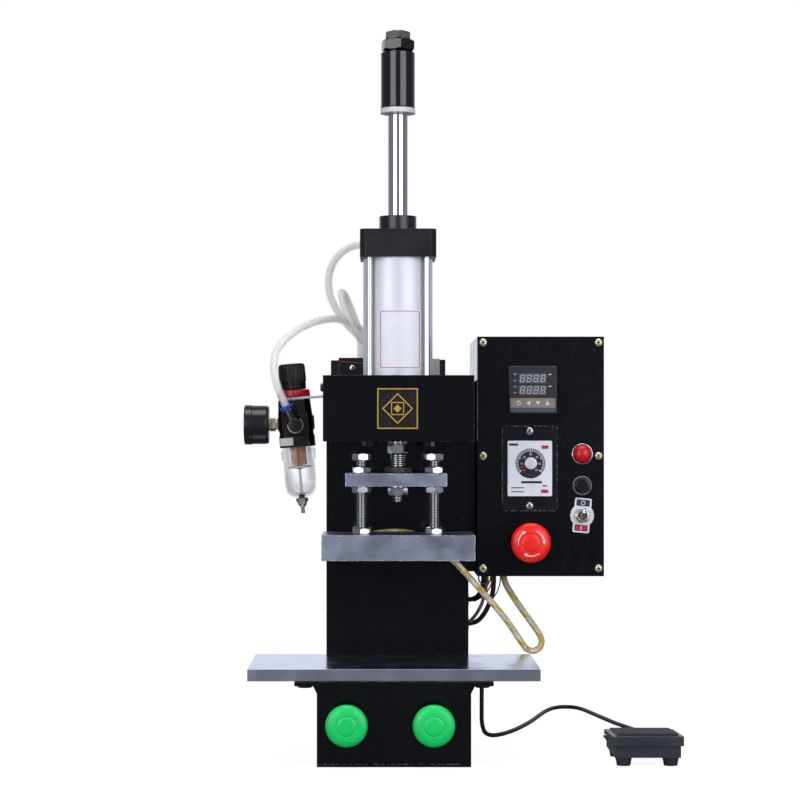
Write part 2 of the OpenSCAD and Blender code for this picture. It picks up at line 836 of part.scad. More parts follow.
module estop_base() {
    color("#2b2c2f") button_base(estop_c, box_y, panel_t, 9, 14 + 2 * run_fit, 22);
}

module estop_plunger() {
    color("#2a2a2c") {
        cyl_y(estop_c[0], estop_c[1], box_y - 14, box_y + 16, 14);
        cyl_y(estop_c[0], estop_c[1], box_y - 25, box_y - 13.9, 8);
    }
}

module estop_head() {
    color("#d0201f")
        difference() {
            mushroom(estop_c, box_y, 30, 40, 20, -15);
            cyl_y(estop_c[0], estop_c[1], box_y - 25.2, box_y - 10, 8 + 2 * run_fit);
        }
}

module palm_button_bases() {
    color("#2b2c2f")
        for (s = [-1, 1])
            button_base([palm_x + s * palm_dx, palm_z], base_front, wall, 9, 14 + 2 * run_fit, 24);
}

module palm_button(s) {
    color("#16a34a") mushroom([palm_x + s * palm_dx, palm_z], base_front, 32, 40, 14, 14);
}

module palm_button_left() {
    palm_button(-1);
}

module palm_button_right() {
    palm_button(1);
}

// ---- Ram ----
module piston_rod() {
    color("#d9dbe0") {
        cyl_z(0, 0, 306.9, shoulder_z, rod_d);
        cyl_z(0, 0, shoulder_z - 0.01, rod_top, 16);
        translate([0, 0, 297.6]) hexagon(18, 9.4);
        cyl_z(0, 0, cross_z[1], 297.7, 16);
        cyl_z(0, 0, 250, cross_z[1] + 0.01, m10_d);
    }
}

module piston() {
    color("#9a9da3")
        translate([0, 0, piston_z])
            rotate_extrude()
                polygon([[rod_d / 2, 0], [bore_d / 2 - 1, 0], [bore_d / 2 - run_fit, 1],
                         [bore_d / 2 - run_fit, 9], [bore_d / 2 - 3, 9], [bore_d / 2 - 3, 13],
                         [bore_d / 2 - run_fit, 13], [bore_d / 2 - run_fit, 25], [bore_d / 2 - 3, 25],
                         [bore_d / 2 - 3, 29], [bore_d / 2 - run_fit, 29],
                         [bore_d / 2 - run_fit, piston_h - 1], [bore_d / 2 - 1, piston_h],
                         [rod_d / 2, piston_h]]);
}

module rod_nuts() {
    color("#c7c9cd") {
        translate([0, 0, cross_z[1]]) hexagon(m16_af, 6.5, 16);
        translate([0, 0, cross_z[0] - 9.6]) hexagon(17, 8, m10_d);
        translate([0, 0, cross_z[0] - 1.5]) ring(20, 1.5, m10_d);
        translate([0, 0, shoulder_z]) rotate([0, 0, -20]) hexagon(30, 10.9, 16);
        translate([0, 0, shoulder_z + 11]) rotate([0, 0, 32]) hexagon(m16_af, 7.8, 16);
    }
}

module ring(d, h, bore) {
    difference() {
        cylinder(h = h, d = d);
        translate([0, 0, -1]) cylinder(h = h + 2, d = bore);
    }
}

module at_bolts() {
    for (sx = [-1, 1])
        for (sy = [-1, 1])
            translate([sx * bolt_x, sy * bolt_y, 0]) children();
}

module crosshead_plate() {
    color("#b4b8c4")
        difference() {
            block([-cross_w / 2 - 1.9, -30, cross_z[0]], [cross_w / 2 - 1.9, 30, cross_z[1]]);
            cyl_z(0, 0, cross_z[0] - 1, cross_z[1] + 1, m10_d);
            at_bolts() cyl_z(0, 0, cross_z[0] - 1, cross_z[1] + 1, m10_d);
        }
}

module levelling_bolts() {
    color("#d2d5d8")
        at_bolts() {
            translate([0, 0, 291]) hexagon(m10_af, 7.2);
            cyl_z(0, 0, heat_top - 10, 291.01, m10_d);
            for (nut = [[cross_z[1], 6.3], [cross_z[0] - 6.5, 6.5], [heat_top, 5.8]])
                translate([0, 0, nut[0]]) hexagon(m10_af, nut[1], m10_d + 2 * run_fit);
        }
}

module heating_plate() {
    color("#b9bdc8")
        difference() {
            block([-heat_w / 2, heat_front, heat_z], [heat_w / 2, heat_front + heat_d, heat_top]);
            at_bolts() cyl_z(0, 0, heat_top - 10, heat_top + 1, m10_d);
            for (x = heater_x)
                cyl_y(x, heater_z, heat_front + 12, heat_front + heat_d + 1, 12);
        }
}

module heater_cartridges() {
    color("#a8a49a")
        for (x = heater_x)
            cyl_y(x, heater_z, heat_front + 12, heat_front + heat_d + 2.5, 12);
}

module adjuster_sleeve() {
    color("#17181b")
        translate([0, 0, stop_z + 5])
            rotate_extrude()
                polygon([[rod_d / 2 + run_fit, 0], [16, 0], [17, 1], [17, 55], [14.5, 57.1],
                         [rod_d / 2 + run_fit, 57.1]]);
}

module bumper_washer() {
    color("#e6e7ea")
        translate([0, 0, stop_z]) ring(35, 4.9, rod_d + 2 * run_fit);
}

// ---- Leads and cables ----
// The heater lead and the two cables between the box and the column
module box_leads() {
    color("#d8c48a") swept_tube(smooth(heater_lead_route, 2), lead_d, [0, 1, 0.2]);
    color("#1d1d20")
        for (r = cable_routes)
            swept_tube(smooth(r, 2), cable_d, [0, 1, 0.2]);
}

module cord_grommets() {
    color("#1a1a1c") {
        cyl_x(96, 64, base_right - wall, base_right + 0.01, 9);
        cyl_x(96, 64, base_right, 73, 11);
        cyl_y(247, 12.5, pedal_y[1], -2, 8);
        for (h = box_cable_holes) {
            cyl_z(h[0], h[1], box_z - 1.5, box_z + 0.01, 11);
            cyl_z(h[0], h[1], box_z, box_z + 2, 9);
        }
        for (z = column_cable_z) {
            cyl_x(99, z, half_w - 4, half_w + 0.01, 9);
            cyl_x(99, z, half_w, 74.5, 11);
        }
    }
}

module foot_cord() {
    color("#141416") swept_tube(smooth(foot_cord_route, 2), cord_d, [0.2, 0.8, 0.55]);
}

// ---- Foot pedal ----
module pedal_base() {
    color("#303236") {
        difference() {
            block([pedal_x - 31.6, pedal_y[0] + 3.3, 8], [pedal_x + 31.6, pedal_y[1], 20]);
            block([pedal_x - 29.2, pedal_y[0] + 5.8, 10.5], [pedal_x + 29.2, pedal_y[1] - 2.5, 21]);
        }
        for (s = [-1, 1])
            difference() {
                block([pedal_x + s * 26 - 2, pedal_pin_y - 3.5, 10], [pedal_x + s * 26 + 2, pedal_pin_y + 3.5, 23.1]);
                cyl_x(pedal_pin_y, pedal_pin_z, pedal_x - 40, pedal_x + 40, 4 + 2 * run_fit);
            }
        for (sx = [-1, 1])
            for (y = [pedal_y[0] + 11, pedal_y[1] - 12])
                translate([pedal_x + sx * 22.5, y, 0]) cylinder(h = 7.98, d1 = 13, d2 = 16);
        cyl_x(pedal_pin_y, pedal_pin_z, pedal_x - 36, pedal_x + 36, 4);
    }
}

// Side outline [y, z] of the treadle, pushed out along X about the pedal's middle
module pedal_side(w, outline) {
    translate([pedal_x - w / 2, 0, 0])
        rotate([90, 0, 90])
            linear_extrude(height = w)
                polygon(outline);
}

module pedal_treadle() {
    y0 = pedal_y[0];
    y1 = pedal_y[1] - 2;
    color("#3a3c41")
        difference() {
            union() {
                pedal_side(pedal_w, [[y0, 19.6], [y0, 28.4], [y0 + 0.5, 28.9], [y1, 25.4], [y1, 20.3]]);
                pedal_side(58, [[y0 + 3.5, 27], [y0 + 4.5, 31], [y1 - 6, 27.4], [y1 - 5, 24.5]]);
                cyl_x(pedal_pin_y, pedal_pin_z, pedal_x - pedal_w / 2, pedal_x + pedal_w / 2, 8.4);
            }
            pedal_side(64.4, [[y0 + 2.5, 10], [y0 + 2.5, 26.4], [y1 - 2.5, 23.1], [y1 - 2.5, 10]]);
            cyl_x(pedal_pin_y, pedal_pin_z, pedal_x - 40, pedal_x + 40, 4 + 2 * run_fit);
        }
}

base_housing();
base_bottom_plate();
work_table();
column();
column_rear_cover();
head_housing();
head_badge();
frame_bolts();
cover_screws();
lower_cap();
upper_cap();
barrel();
tie_rods();
rod_bushes();
valve_body();
valve_coil();
valve_spool();
air_fittings();
air_hoses();
regulator_bracket();
regulator_body();
regulator_lock_ring();
regulator_knob();
regulator_bowl();
filter_element();
bowl_drain();
gauge_case();
gauge_lens();
gauge_needle();
control_box();
control_panel();
temp_controller();
timer_frame();
timer_body();
timer_knob();
pilot_lamp();
fuse_holder();
fuse_cap();
toggle_switch();
toggle_lever();
estop_base();
estop_plunger();
estop_head();
palm_button_bases();
palm_button_left();
palm_button_right();
piston_rod();
piston();
rod_nuts();
crosshead_plate();
levelling_bolts();
heating_plate();
heater_cartridges();
adjuster_sleeve();
bumper_washer();
box_leads();
pedal_base();
pedal_treadle();
foot_cord();
cord_grommets();
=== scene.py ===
"""Looks of the hot foil stamper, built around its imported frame.

Helpers take millimetres and hand Blender metres. Every mesh keeps its place in its vertices."""

import json
from math import atan2, cos, pi, radians, sin

import bmesh
import bpy
from mathutils import Matrix, Vector

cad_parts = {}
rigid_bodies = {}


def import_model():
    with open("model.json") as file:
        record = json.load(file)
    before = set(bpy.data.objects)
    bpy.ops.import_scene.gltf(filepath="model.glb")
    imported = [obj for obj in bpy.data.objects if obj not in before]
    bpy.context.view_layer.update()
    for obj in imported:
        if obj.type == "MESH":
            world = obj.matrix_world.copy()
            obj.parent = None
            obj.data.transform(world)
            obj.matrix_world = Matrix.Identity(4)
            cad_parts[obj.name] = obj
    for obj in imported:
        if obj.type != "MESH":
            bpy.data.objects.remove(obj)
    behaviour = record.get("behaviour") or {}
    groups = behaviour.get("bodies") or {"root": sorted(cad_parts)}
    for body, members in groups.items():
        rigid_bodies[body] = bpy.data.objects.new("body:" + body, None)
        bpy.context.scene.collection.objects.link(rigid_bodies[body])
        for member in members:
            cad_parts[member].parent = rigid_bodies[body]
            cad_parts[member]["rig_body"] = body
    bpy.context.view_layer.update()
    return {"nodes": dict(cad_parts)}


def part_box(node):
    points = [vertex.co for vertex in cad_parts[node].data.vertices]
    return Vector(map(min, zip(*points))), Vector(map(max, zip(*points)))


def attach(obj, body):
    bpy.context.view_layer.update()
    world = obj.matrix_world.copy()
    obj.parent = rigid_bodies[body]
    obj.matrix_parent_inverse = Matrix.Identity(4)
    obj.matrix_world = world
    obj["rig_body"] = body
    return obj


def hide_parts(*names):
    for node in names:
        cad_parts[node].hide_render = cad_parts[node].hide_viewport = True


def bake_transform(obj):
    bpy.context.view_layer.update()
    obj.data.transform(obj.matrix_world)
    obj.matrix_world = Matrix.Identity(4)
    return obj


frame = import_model()
nodes = frame["nodes"]
MM = 0.001


def placed(name, data):
    """A new object in the scene."""
    made = bpy.data.objects.new(name, data)
    bpy.context.scene.collection.objects.link(made)
    return made


# ---- Camera ----
def make_camera():
    """A level camera in front, as long as the photograph's, with the horizon low in the frame."""
    camera = placed("camera", bpy.data.cameras.new("camera"))
    camera.location = Vector((-17.8, -2191.2, 316)) * MM
    camera.rotation_euler = (radians(90), 0, 0)
    camera.data.lens = 99
    camera.data.sensor_width = 36
    camera.data.shift_x = 0.025
    camera.data.shift_y = 0.044
    camera.data.clip_end = 20
    bpy.context.scene.camera = camera


# ---- Places read from the frame, in millimetres ----
def low(node):
    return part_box(node)[0] / MM


def high(node):
    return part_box(node)[1] / MM


def middle(node):
    return (low(node) + high(node)) / 2


# ---- Materials ----
def rgb(code):
    """Linear colour of a web colour code."""
    parts = [int(code[i:i + 2], 16) / 255 for i in (1, 3, 5)]
    return [p / 12.92 if p < 0.04045 else ((p + 0.055) / 1.055) ** 2.4 for p in parts] + [1.0]


class Look:
    """A Principled material and the few node helpers that its recipe needs."""

    def __init__(self, name, **sockets):
        self.material = bpy.data.materials.new(name)
        self.material.use_nodes = True
        self.tree = self.material.node_tree
        self.shader = self.tree.nodes["Principled BSDF"]
        self.coords = self.node("ShaderNodeTexCoord").outputs["Object"]
        for socket, value in sockets.items():
            self.shader.inputs[socket.replace("_", " ")].default_value = value

    def node(self, kind, settings=(), **inputs):
        made = self.tree.nodes.new(kind)
        for key, value in dict(settings).items():
            setattr(made, key, value)
        for key, value in inputs.items():
            self.feed(made.inputs[key.replace("_", " ")], value)
        return made

    def feed(self, socket, value):
        if isinstance(value, bpy.types.NodeSocket):
            self.tree.links.new(value, socket)
        else:
            socket.default_value = value

    def set(self, **inputs):
        for key, value in inputs.items():
            self.feed(self.shader.inputs[key.replace("_", " ")], value)
        return self

    def stretched(self, factors):
        if factors == (1, 1, 1):
            return self.coords
        return self.node("ShaderNodeMapping", Vector=self.coords, Scale=factors).outputs[0]

    def noise(self, size, stretch=(1, 1, 1), detail=3.0):
        """Noise whose blotches are about size millimetres across."""
        return self.node("ShaderNodeTexNoise", Vector=self.stretched(stretch),
                         Scale=1 / (size * MM), Detail=detail).outputs["Fac"]

    def ramp(self, value, stops):
        made = self.node("ShaderNodeValToRGB", Fac=value)
        elements = made.color_ramp.elements
        while len(elements) < len(stops):
            elements.new(0.5)
        for element, (place, color) in zip(elements, stops):
            element.position = place
            element.color = color
        return made.outputs["Color"]

    def spread(self, value, start, end, to_start, to_end):
        """value, from start..end, mapped to to_start..to_end."""
        made = self.node("ShaderNodeMapRange", Value=value)
        for socket, number in zip(made.inputs[1:5], (start, end, to_start, to_end)):
            socket.default_value = number
        return made.outputs[0]

    def math(self, operation, a, b=0.0):
        made = self.node("ShaderNodeMath", {"operation": operation})
        self.feed(made.inputs[0], a)
        self.feed(made.inputs[1], b)
        return made.outputs[0]

    def times(self, a, b):
        return self.math("MULTIPLY", a, b)

    def plus(self, a, b):
        return self.math("ADD", a, b)

    def above(self, a, b):
        return self.math("GREATER_THAN", a, b)

    def below(self, a, b):
        return self.math("LESS_THAN", a, b)

    def mix(self, factor, a, b):
        made = self.node("ShaderNodeMix", {"data_type": "RGBA"})
        self.feed(made.inputs[0], factor)
        self.feed(made.inputs[6], a)
        self.feed(made.inputs[7], b)
        return made.outputs[2]

    def bump(self, height, depth):
        """Relief whose full height is depth millimetres."""
        self.set(Normal=self.node("ShaderNodeBump", Height=height, Distance=depth * MM,
                                  Strength=1.0).outputs[0])
        return self

    def axis(self, index):
        return self.node("ShaderNodeSeparateXYZ", Vector=self.coords).outputs[index]


def tinted(color, factor):
    return [min(1.0, c * factor) for c in color[:3]] + [1.0]


def plain_look(name, code, roughness, metallic=0.0, tone=0.12, blotch=25, spread=0.08,
               relief=0.0, grain=0.5, stretch=(1, 1, 1), **sockets):
    """The usual recipe: a slightly uneven colour, uneven gloss and a fine grain."""
    look = Look(name, Metallic=metallic, **sockets)
    color = rgb(code)
    patches = look.noise(blotch, stretch)
    look.set(Base_Color=look.ramp(patches,
                                  [(0.3, tinted(color, 1 - tone)), (0.7, tinted(color, 1 + tone))]))
    fine = look.noise(grain, stretch)
    shine = look.plus(look.times(fine, 0.5), look.times(patches, 0.5))
    look.set(Roughness=look.spread(shine, 0.3, 0.7, max(0.02, roughness - spread),
                                   min(1, roughness + spread)))
    if relief:
        look.bump(fine, relief)
    return look


def scratches(look, size, amount, stretch):
    """Thin straight marks along one direction, 0 or 1."""
    streak = look.noise(size, stretch, detail=1.0)
    patch = look.noise(size * 9, (1, 1, 1), detail=2.0)
    return look.times(look.above(streak, 1 - amount), look.above(patch, 0.52))


def worn_edges(look, node, width):
    """1 close to the straight edges of a box-shaped CAD node, broken up by noise: the mask of a painted
    edge highlight.
    """
    position = look.node("ShaderNodeSeparateXYZ", Vector=look.coords).outputs
    distances = []
    for axis in range(3):
        a = look.math("ABSOLUTE", look.math("SUBTRACT", position[axis], low(node)[axis] * MM))
        b = look.math("ABSOLUTE", look.math("SUBTRACT", position[axis], high(node)[axis] * MM))
        distances.append(look.math("MINIMUM", a, b))
    x, y, z = distances
    second = look.math("MAXIMUM", look.math("MINIMUM", x, y),
                       look.math("MINIMUM", look.math("MAXIMUM", x, y), z))
    ragged = look.spread(look.noise(3.0, detail=5.0), 0.42, 0.72, 0.0, width * MM)
    return look.below(second, ragged)


def black_enamel(name, node=None, edge_highlight_width=0.0, code="#060709"):
    """Gloss black enamel: faint orange peel, dust, light scratches and a painted highlight along the edges.
    """
    look = Look(name, Coat_Weight=0.1, Coat_Roughness=0.05, Specular_IOR_Level=0.34,
                Specular_Tint=(0.8, 0.85, 1, 1))
    color = rgb(code)
    body = look.ramp(look.noise(40), [(0.35, tinted(color, 0.85)), (0.7, tinted(color, 1.25))])
    dust = look.times(look.above(look.noise(1.1, detail=1.0), 0.745), 0.25)
    body = look.mix(dust, body, rgb("#6a6b70"))
    marks = look.plus(scratches(look, 0.5, 0.3, (1, 1, 0.05)),
                      scratches(look, 0.5, 0.3, (0.05, 1, 1)))
    body = look.mix(look.times(marks, 0.15), body, rgb("#55575c"))
    # painted highlight: a lighter grey band along the edges of the node
    if node:
        body = look.mix(look.times(worn_edges(look, node, edge_highlight_width), 0.35), body, rgb("#8d9096"))
    look.set(Base_Color=body, Roughness=look.spread(look.noise(14, detail=4.0), 0.3, 0.75, 0.1, 0.2))
    return look.bump(look.noise(3.5, detail=1.0), 0.008)


def box_side_enamel():
    """The box's own enamel, with its shine taken away below the level of the head: a painted shade."""
    look = black_enamel("box_side_enamel", "control_box", 0.3, "#07080b")
    # painted shade: no specular and less coat below the level of the head
    dull = look.spread(look.axis(2), 0.372, 0.379, 0.0, 0.5)
    return look.set(Specular_IOR_Level=dull, Coat_Weight=look.times(dull, 0.3))


def brushed_metal(name, code, roughness, tone, relief, edges=None):
    """Metal with fine lines that run from left to right; with edges, a near-white painted highlight along
    that node's edges.
    """
    look = Look(name, Metallic=1.0)
    color = rgb(code)
    lines = look.noise(0.35, (0.02, 1, 1), detail=2.0)
    cloud = look.noise(22, detail=4.0)
    both = look.plus(look.times(lines, 0.45), look.times(cloud, 0.55))
    body = look.ramp(both, [(0.35, tinted(color, 1 - tone)), (0.65, tinted(color, 1 + tone))])
    # painted highlight: near-white colour along the edges of the plate
    if edges:
        body = look.mix(look.times(worn_edges(look, edges, 1.5), 0.8), body, rgb("#f4f5fb"))
    look.set(Base_Color=body, Roughness=look.spread(both, 0.35, 0.65, roughness - 0.06, roughness + 0.08))
    return look.bump(lines, relief)


def clear_look(name, code, roughness, transmission, ior=1.49, **sockets):
    """Clear moulded plastic with faint flow lines."""
    look = Look(name, Transmission_Weight=transmission, IOR=ior, **sockets)
    color = rgb(code)
    flow = look.noise(9, (1, 1, 0.3))
    look.set(Base_Color=look.ramp(flow, [(0.3, tinted(color, 0.94)), (0.7, color)]),
             Roughness=look.spread(flow, 0.3, 0.7, roughness * 0.6, roughness * 1.4))
    return look.bump(flow, 0.004)


def make_looks():
    return {
        "base": black_enamel("base_enamel", "base_housing", 0.4),
        "bottom": black_enamel("bottom_enamel", "base_bottom_plate", 0.9),
        "column": black_enamel("column_enamel"),
        "head": black_enamel("head_enamel", "head_housing", 0.4),
        "box": black_enamel("box_enamel", "control_box", 0.3, "#07080b"),
        "box_side": box_side_enamel(),
        "table": brushed_metal("polished_table", "#c4cbe0", 0.18, tone=0.06, relief=0.003),
        "plate": brushed_metal("heated_aluminium", "#a1a7bc", 0.34, tone=0.16, relief=0.01,
                               edges="heating_plate"),
        "cross": brushed_metal("crosshead_aluminium", "#a1a7bc", 0.34, tone=0.16, relief=0.01,
                               edges="crosshead_plate"),
        "barrel": plain_look("barrel_aluminium", "#e0e1ea", 0.48, 0.45, tone=0.03, blotch=30, spread=0.04,
                             stretch=(1, 1, 0.05)),
        "chrome": plain_look("hard_chrome", "#d9dae0", 0.07, 1.0, tone=0.02, blotch=60, spread=0.015,
                             grain=6),
        "zinc": plain_look("zinc_plate", "#c9cbd0", 0.22, 1.0, tone=0.05, blotch=9, spread=0.04, grain=3),
        "dull_zinc": plain_look("dull_zinc_plate", "#6d676a", 0.3, 1.0, tone=0.08, blotch=9, spread=0.05,
                                grain=3),
        "nickel": plain_look("nickel_plate", "#c6c1b8", 0.24, 0.9, tone=0.06, blotch=5, spread=0.05,
                             grain=2),
        "brass_screw": plain_look("pale_brass_plate", "#d8ccae", 0.3, 0.75, tone=0.08, blotch=5,
                                  spread=0.05, grain=2),
        "bronze": plain_look("bearing_bronze", "#a37434", 0.38, 1.0, tone=0.12, blotch=4, relief=0.004),
        "valve": plain_look("cast_aluminium", "#a9acb0", 0.42, 1.0, tone=0.1, blotch=8, relief=0.02),
        "sheath": plain_look("heater_sheath", "#a39d92", 0.4, 1.0, tone=0.2, blotch=6, relief=0.004),
        "anodised": plain_look("black_anodised", "#0b0d15", 0.3, tone=0.2, spread=0.07, relief=0.006,
                               Specular_IOR_Level=0.6),
        "sleeve": plain_look("black_oxide", "#0b0a10", 0.13, tone=0.25, blotch=10, spread=0.07,
                             relief=0.003, stretch=(1, 1, 0.25), Specular_IOR_Level=0.7),
        "black_plastic": plain_look("black_plastic", "#0a0a0c", 0.22, tone=0.15, spread=0.06, relief=0.004,
                                    grain=1.5),
        "dark_plastic": plain_look("dark_plastic", "#090a0d", 0.42, tone=0.12, Specular_IOR_Level=0.3,
                                   relief=0.02, grain=0.8),
        "rubber": plain_look("black_rubber", "#121214", 0.55, tone=0.15, relief=0.02, grain=0.6),
        "pedal": plain_look("pedal_plastic", "#2a2d38", 0.36, tone=0.12, relief=0.03, grain=0.9),
        "nylon": plain_look("white_nylon", "#dcdde0", 0.4, tone=0.04, Subsurface_Weight=0.15,
                            Subsurface_Radius=(0.002, 0.002, 0.002)),
        "red": plain_look("stop_red_plastic", "#ff1f09", 0.34, tone=0.05, spread=0.05, relief=0.004,
                          grain=1.6),
        "green": plain_look("green_plastic", "#02d668", 0.38, tone=0.05, spread=0.05, relief=0.004,
                            grain=1.6),
        "ring_red": plain_look("red_plastic", "#b01222", 0.3, tone=0.1, relief=0.008),
        "blue": plain_look("blue_plastic", "#3358c0", 0.32, tone=0.08, relief=0.008),
        "white": plain_look("white_face", "#eceef6", 0.36, tone=0.03, blotch=12),
        "enamel_white": plain_look("white_enamel", "#e6e8f0", 0.3, tone=0.04, blotch=8),
        "print_white": plain_look("white_print", "#d9dade", 0.5, tone=0.05, blotch=3),
        "print_grey": plain_look("grey_print", "#7f838b", 0.5, tone=0.06, blotch=3),
        "print_red": plain_look("red_print", "#b3222c", 0.45, tone=0.08, blotch=3),
        "print_navy": plain_look("navy_print", "#1b2433", 0.45, tone=0.08, blotch=3),
        "print_pink": plain_look("crimson_print", "#a82445", 0.45, tone=0.08, blotch=3),
        "bezel": plain_look("bezel_grey", "#3a3b41", 0.42, tone=0.06, relief=0.01),
        "face": plain_look("controller_face", "#24242c", 0.32, tone=0.06, blotch=9),
        "window": plain_look("display_window", "#595c66", 0.22, tone=0.06, blotch=9),
        "strip": plain_look("key_strip", "#8d8076", 0.42, tone=0.05, blotch=6),
        "strip_blue": plain_look("foot_strip", "#3d5069", 0.42, tone=0.05, blotch=6),
        "dial": plain_look("dial_black", "#101114", 0.4, tone=0.08, blotch=4),
        "gold": plain_look("gold_foil", "#d8ae4c", 0.36, 0.55, tone=0.14, blotch=4, relief=0.004),
        "badge": plain_look("badge_black", "#0d0c0a", 0.3, tone=0.2, blotch=5),
        "lamp": plain_look("lamp_red", "#c80416", 0.3, tone=0.1, blotch=3, spread=0.05),
        "wire_red": plain_look("red_wire", "#c41833", 0.36, tone=0.1, blotch=6),
        "wire_blue": plain_look("blue_wire", "#1c3f86", 0.4, tone=0.1, blotch=6),
        "wire_brown": plain_look("brown_wire", "#8a6420", 0.5, tone=0.2, blotch=3),
        "wire_pink": plain_look("pink_sleeve", "#9c6a80", 0.45, tone=0.12, blotch=5,
                                Transmission_Weight=0.2),
        "hose": clear_look("clear_hose", "#fffdfa", 0.4, 0.0, 1.33, Alpha=0.36),
        "bowl": clear_look("clear_bowl", "#f6f5fc", 0.02, 1.0, Alpha=0.27),
        "lens": clear_look("clear_lens", "#f4f6f8", 0.03, 0.97),
        "filter": plain_look("sintered_filter", "#c08a64", 0.8, tone=0.25, blotch=2, relief=0.12,
                             grain=0.5),
        "piston": plain_look("turned_aluminium", "#9a9da3", 0.34, 1.0, tone=0.06, blotch=9, relief=0.004),
        # the timer frame's edges carry a wide painted highlight
        "timer_frame": black_enamel("gloss_black_plastic", "timer_frame", 1.6, "#16171d"),
        "pad": plain_look("pedal_pad", "#27272e", 0.7, tone=0.15, relief=0.05, grain=0.9,
                          Specular_IOR_Level=0.25),
        "moulded": plain_look("moulded_black", "#17181e", 0.25, tone=0.12, spread=0.06, relief=0.004,
                              grain=1.5),
        "satin": plain_look("satin_aluminium", "#dcdee6", 0.4, 0.5, tone=0.04, blotch=6, spread=0.04),
        "digits": plain_look("segment_grey", "#b4b7c0", 0.5, tone=0.05, blotch=3),
        # thread roots: a painted shadow in the hollows of the threads
        "root": plain_look("thread_shadow", "#4a4c50", 0.4, 0.8, tone=0.1, blotch=3),
        "needle": plain_look("needle_red", "#b01d1d", 0.4, tone=0.05, blotch=5),
    }


LOOKS = make_looks()


# ---- Mesh helpers, all in millimetres ----
def shift(x, y, z):
    """Move by so much; on its own, the frame at a point with Z up."""
    return Matrix.Translation((x, y, z))


def turned(degrees, axis):
    return Matrix.Rotation(radians(degrees), 4, axis)


def front(x, y, z):
    """Frame at a point whose own Z points at the viewer (-Y), X to the right and Y up."""
    return shift(x, y, z) @ turned(90, "X")


def fillet(points, radius, steps=4, closed=False):
    """The 2-D outline with each of its corners rounded."""
    out = []
    count = len(points)
    for i, point in enumerate(points):
        if not closed and i in (0, count - 1):
            out.append(tuple(point))
            continue
        p = Vector(point)
        a, b = Vector(points[i - 1]) - p, Vector(points[(i + 1) % count]) - p
        cut = min(radius, a.length * 0.45, b.length * 0.45)
        start, end = p + a.normalized() * cut, p + b.normalized() * cut
        for k in range(steps + 1):
            t = k / steps
            out.append(tuple(start * (1 - t) ** 2 + p * 2 * t * (1 - t) + end * t * t))
    return out


def box_outline(w, h, r=0.0, cx=0.0, cy=0.0):
    corners = [(cx - w / 2, cy - h / 2), (cx + w / 2, cy - h / 2), (cx + w / 2, cy + h / 2),
               (cx - w / 2, cy + h / 2)]
    return fillet(corners, r, closed=True) if r else corners


def polar(r, angle, z):
    return r * cos(angle), r * sin(angle), z


def circle_outline(r, cx=0.0, cy=0.0, steps=40):
    return [(cx + r * cos(2 * pi * k / steps), cy + r * sin(2 * pi * k / steps)) for k in range(steps)]


def hexagon_rows(af, height, chamfer=1.1, per_side=8):
    """Rings of a hexagon whose corners are turned off above and below: (z, radius at each angle)."""
    count = per_side * 6
    flat = af / 2

    def ring(z, limit):
        out = []
        for k in range(count):
            turn = (2 * pi * k / count) % (pi / 3) - pi / 6
            out.append((min(flat / cos(turn), limit), 2 * pi * k / count))
        return z, out

    corner = flat / cos(pi / 6)
    steps = [0, 0.33, 0.66, 1]
    rows = [ring(chamfer * s, flat * 0.97 + (corner - flat * 0.97) * s) for s in steps]
    rows += [ring(height - chamfer * s, flat * 0.97 + (corner - flat * 0.97) * s) for s in reversed(steps)]
    return rows


def knurled(profile, every, depth, z0, z1):
    """Rings of the (height, radius) profile, grooved between z0 and z1 at every few of 120 steps."""
    rows = []
    for z, r in profile:
        cuts = [depth if k % every == 0 and z0 < z < z1 else 0 for k in range(120)]
        rows.append([polar(r - c, 2 * pi * k / 120, z) for k, c in enumerate(cuts)])
    return rows


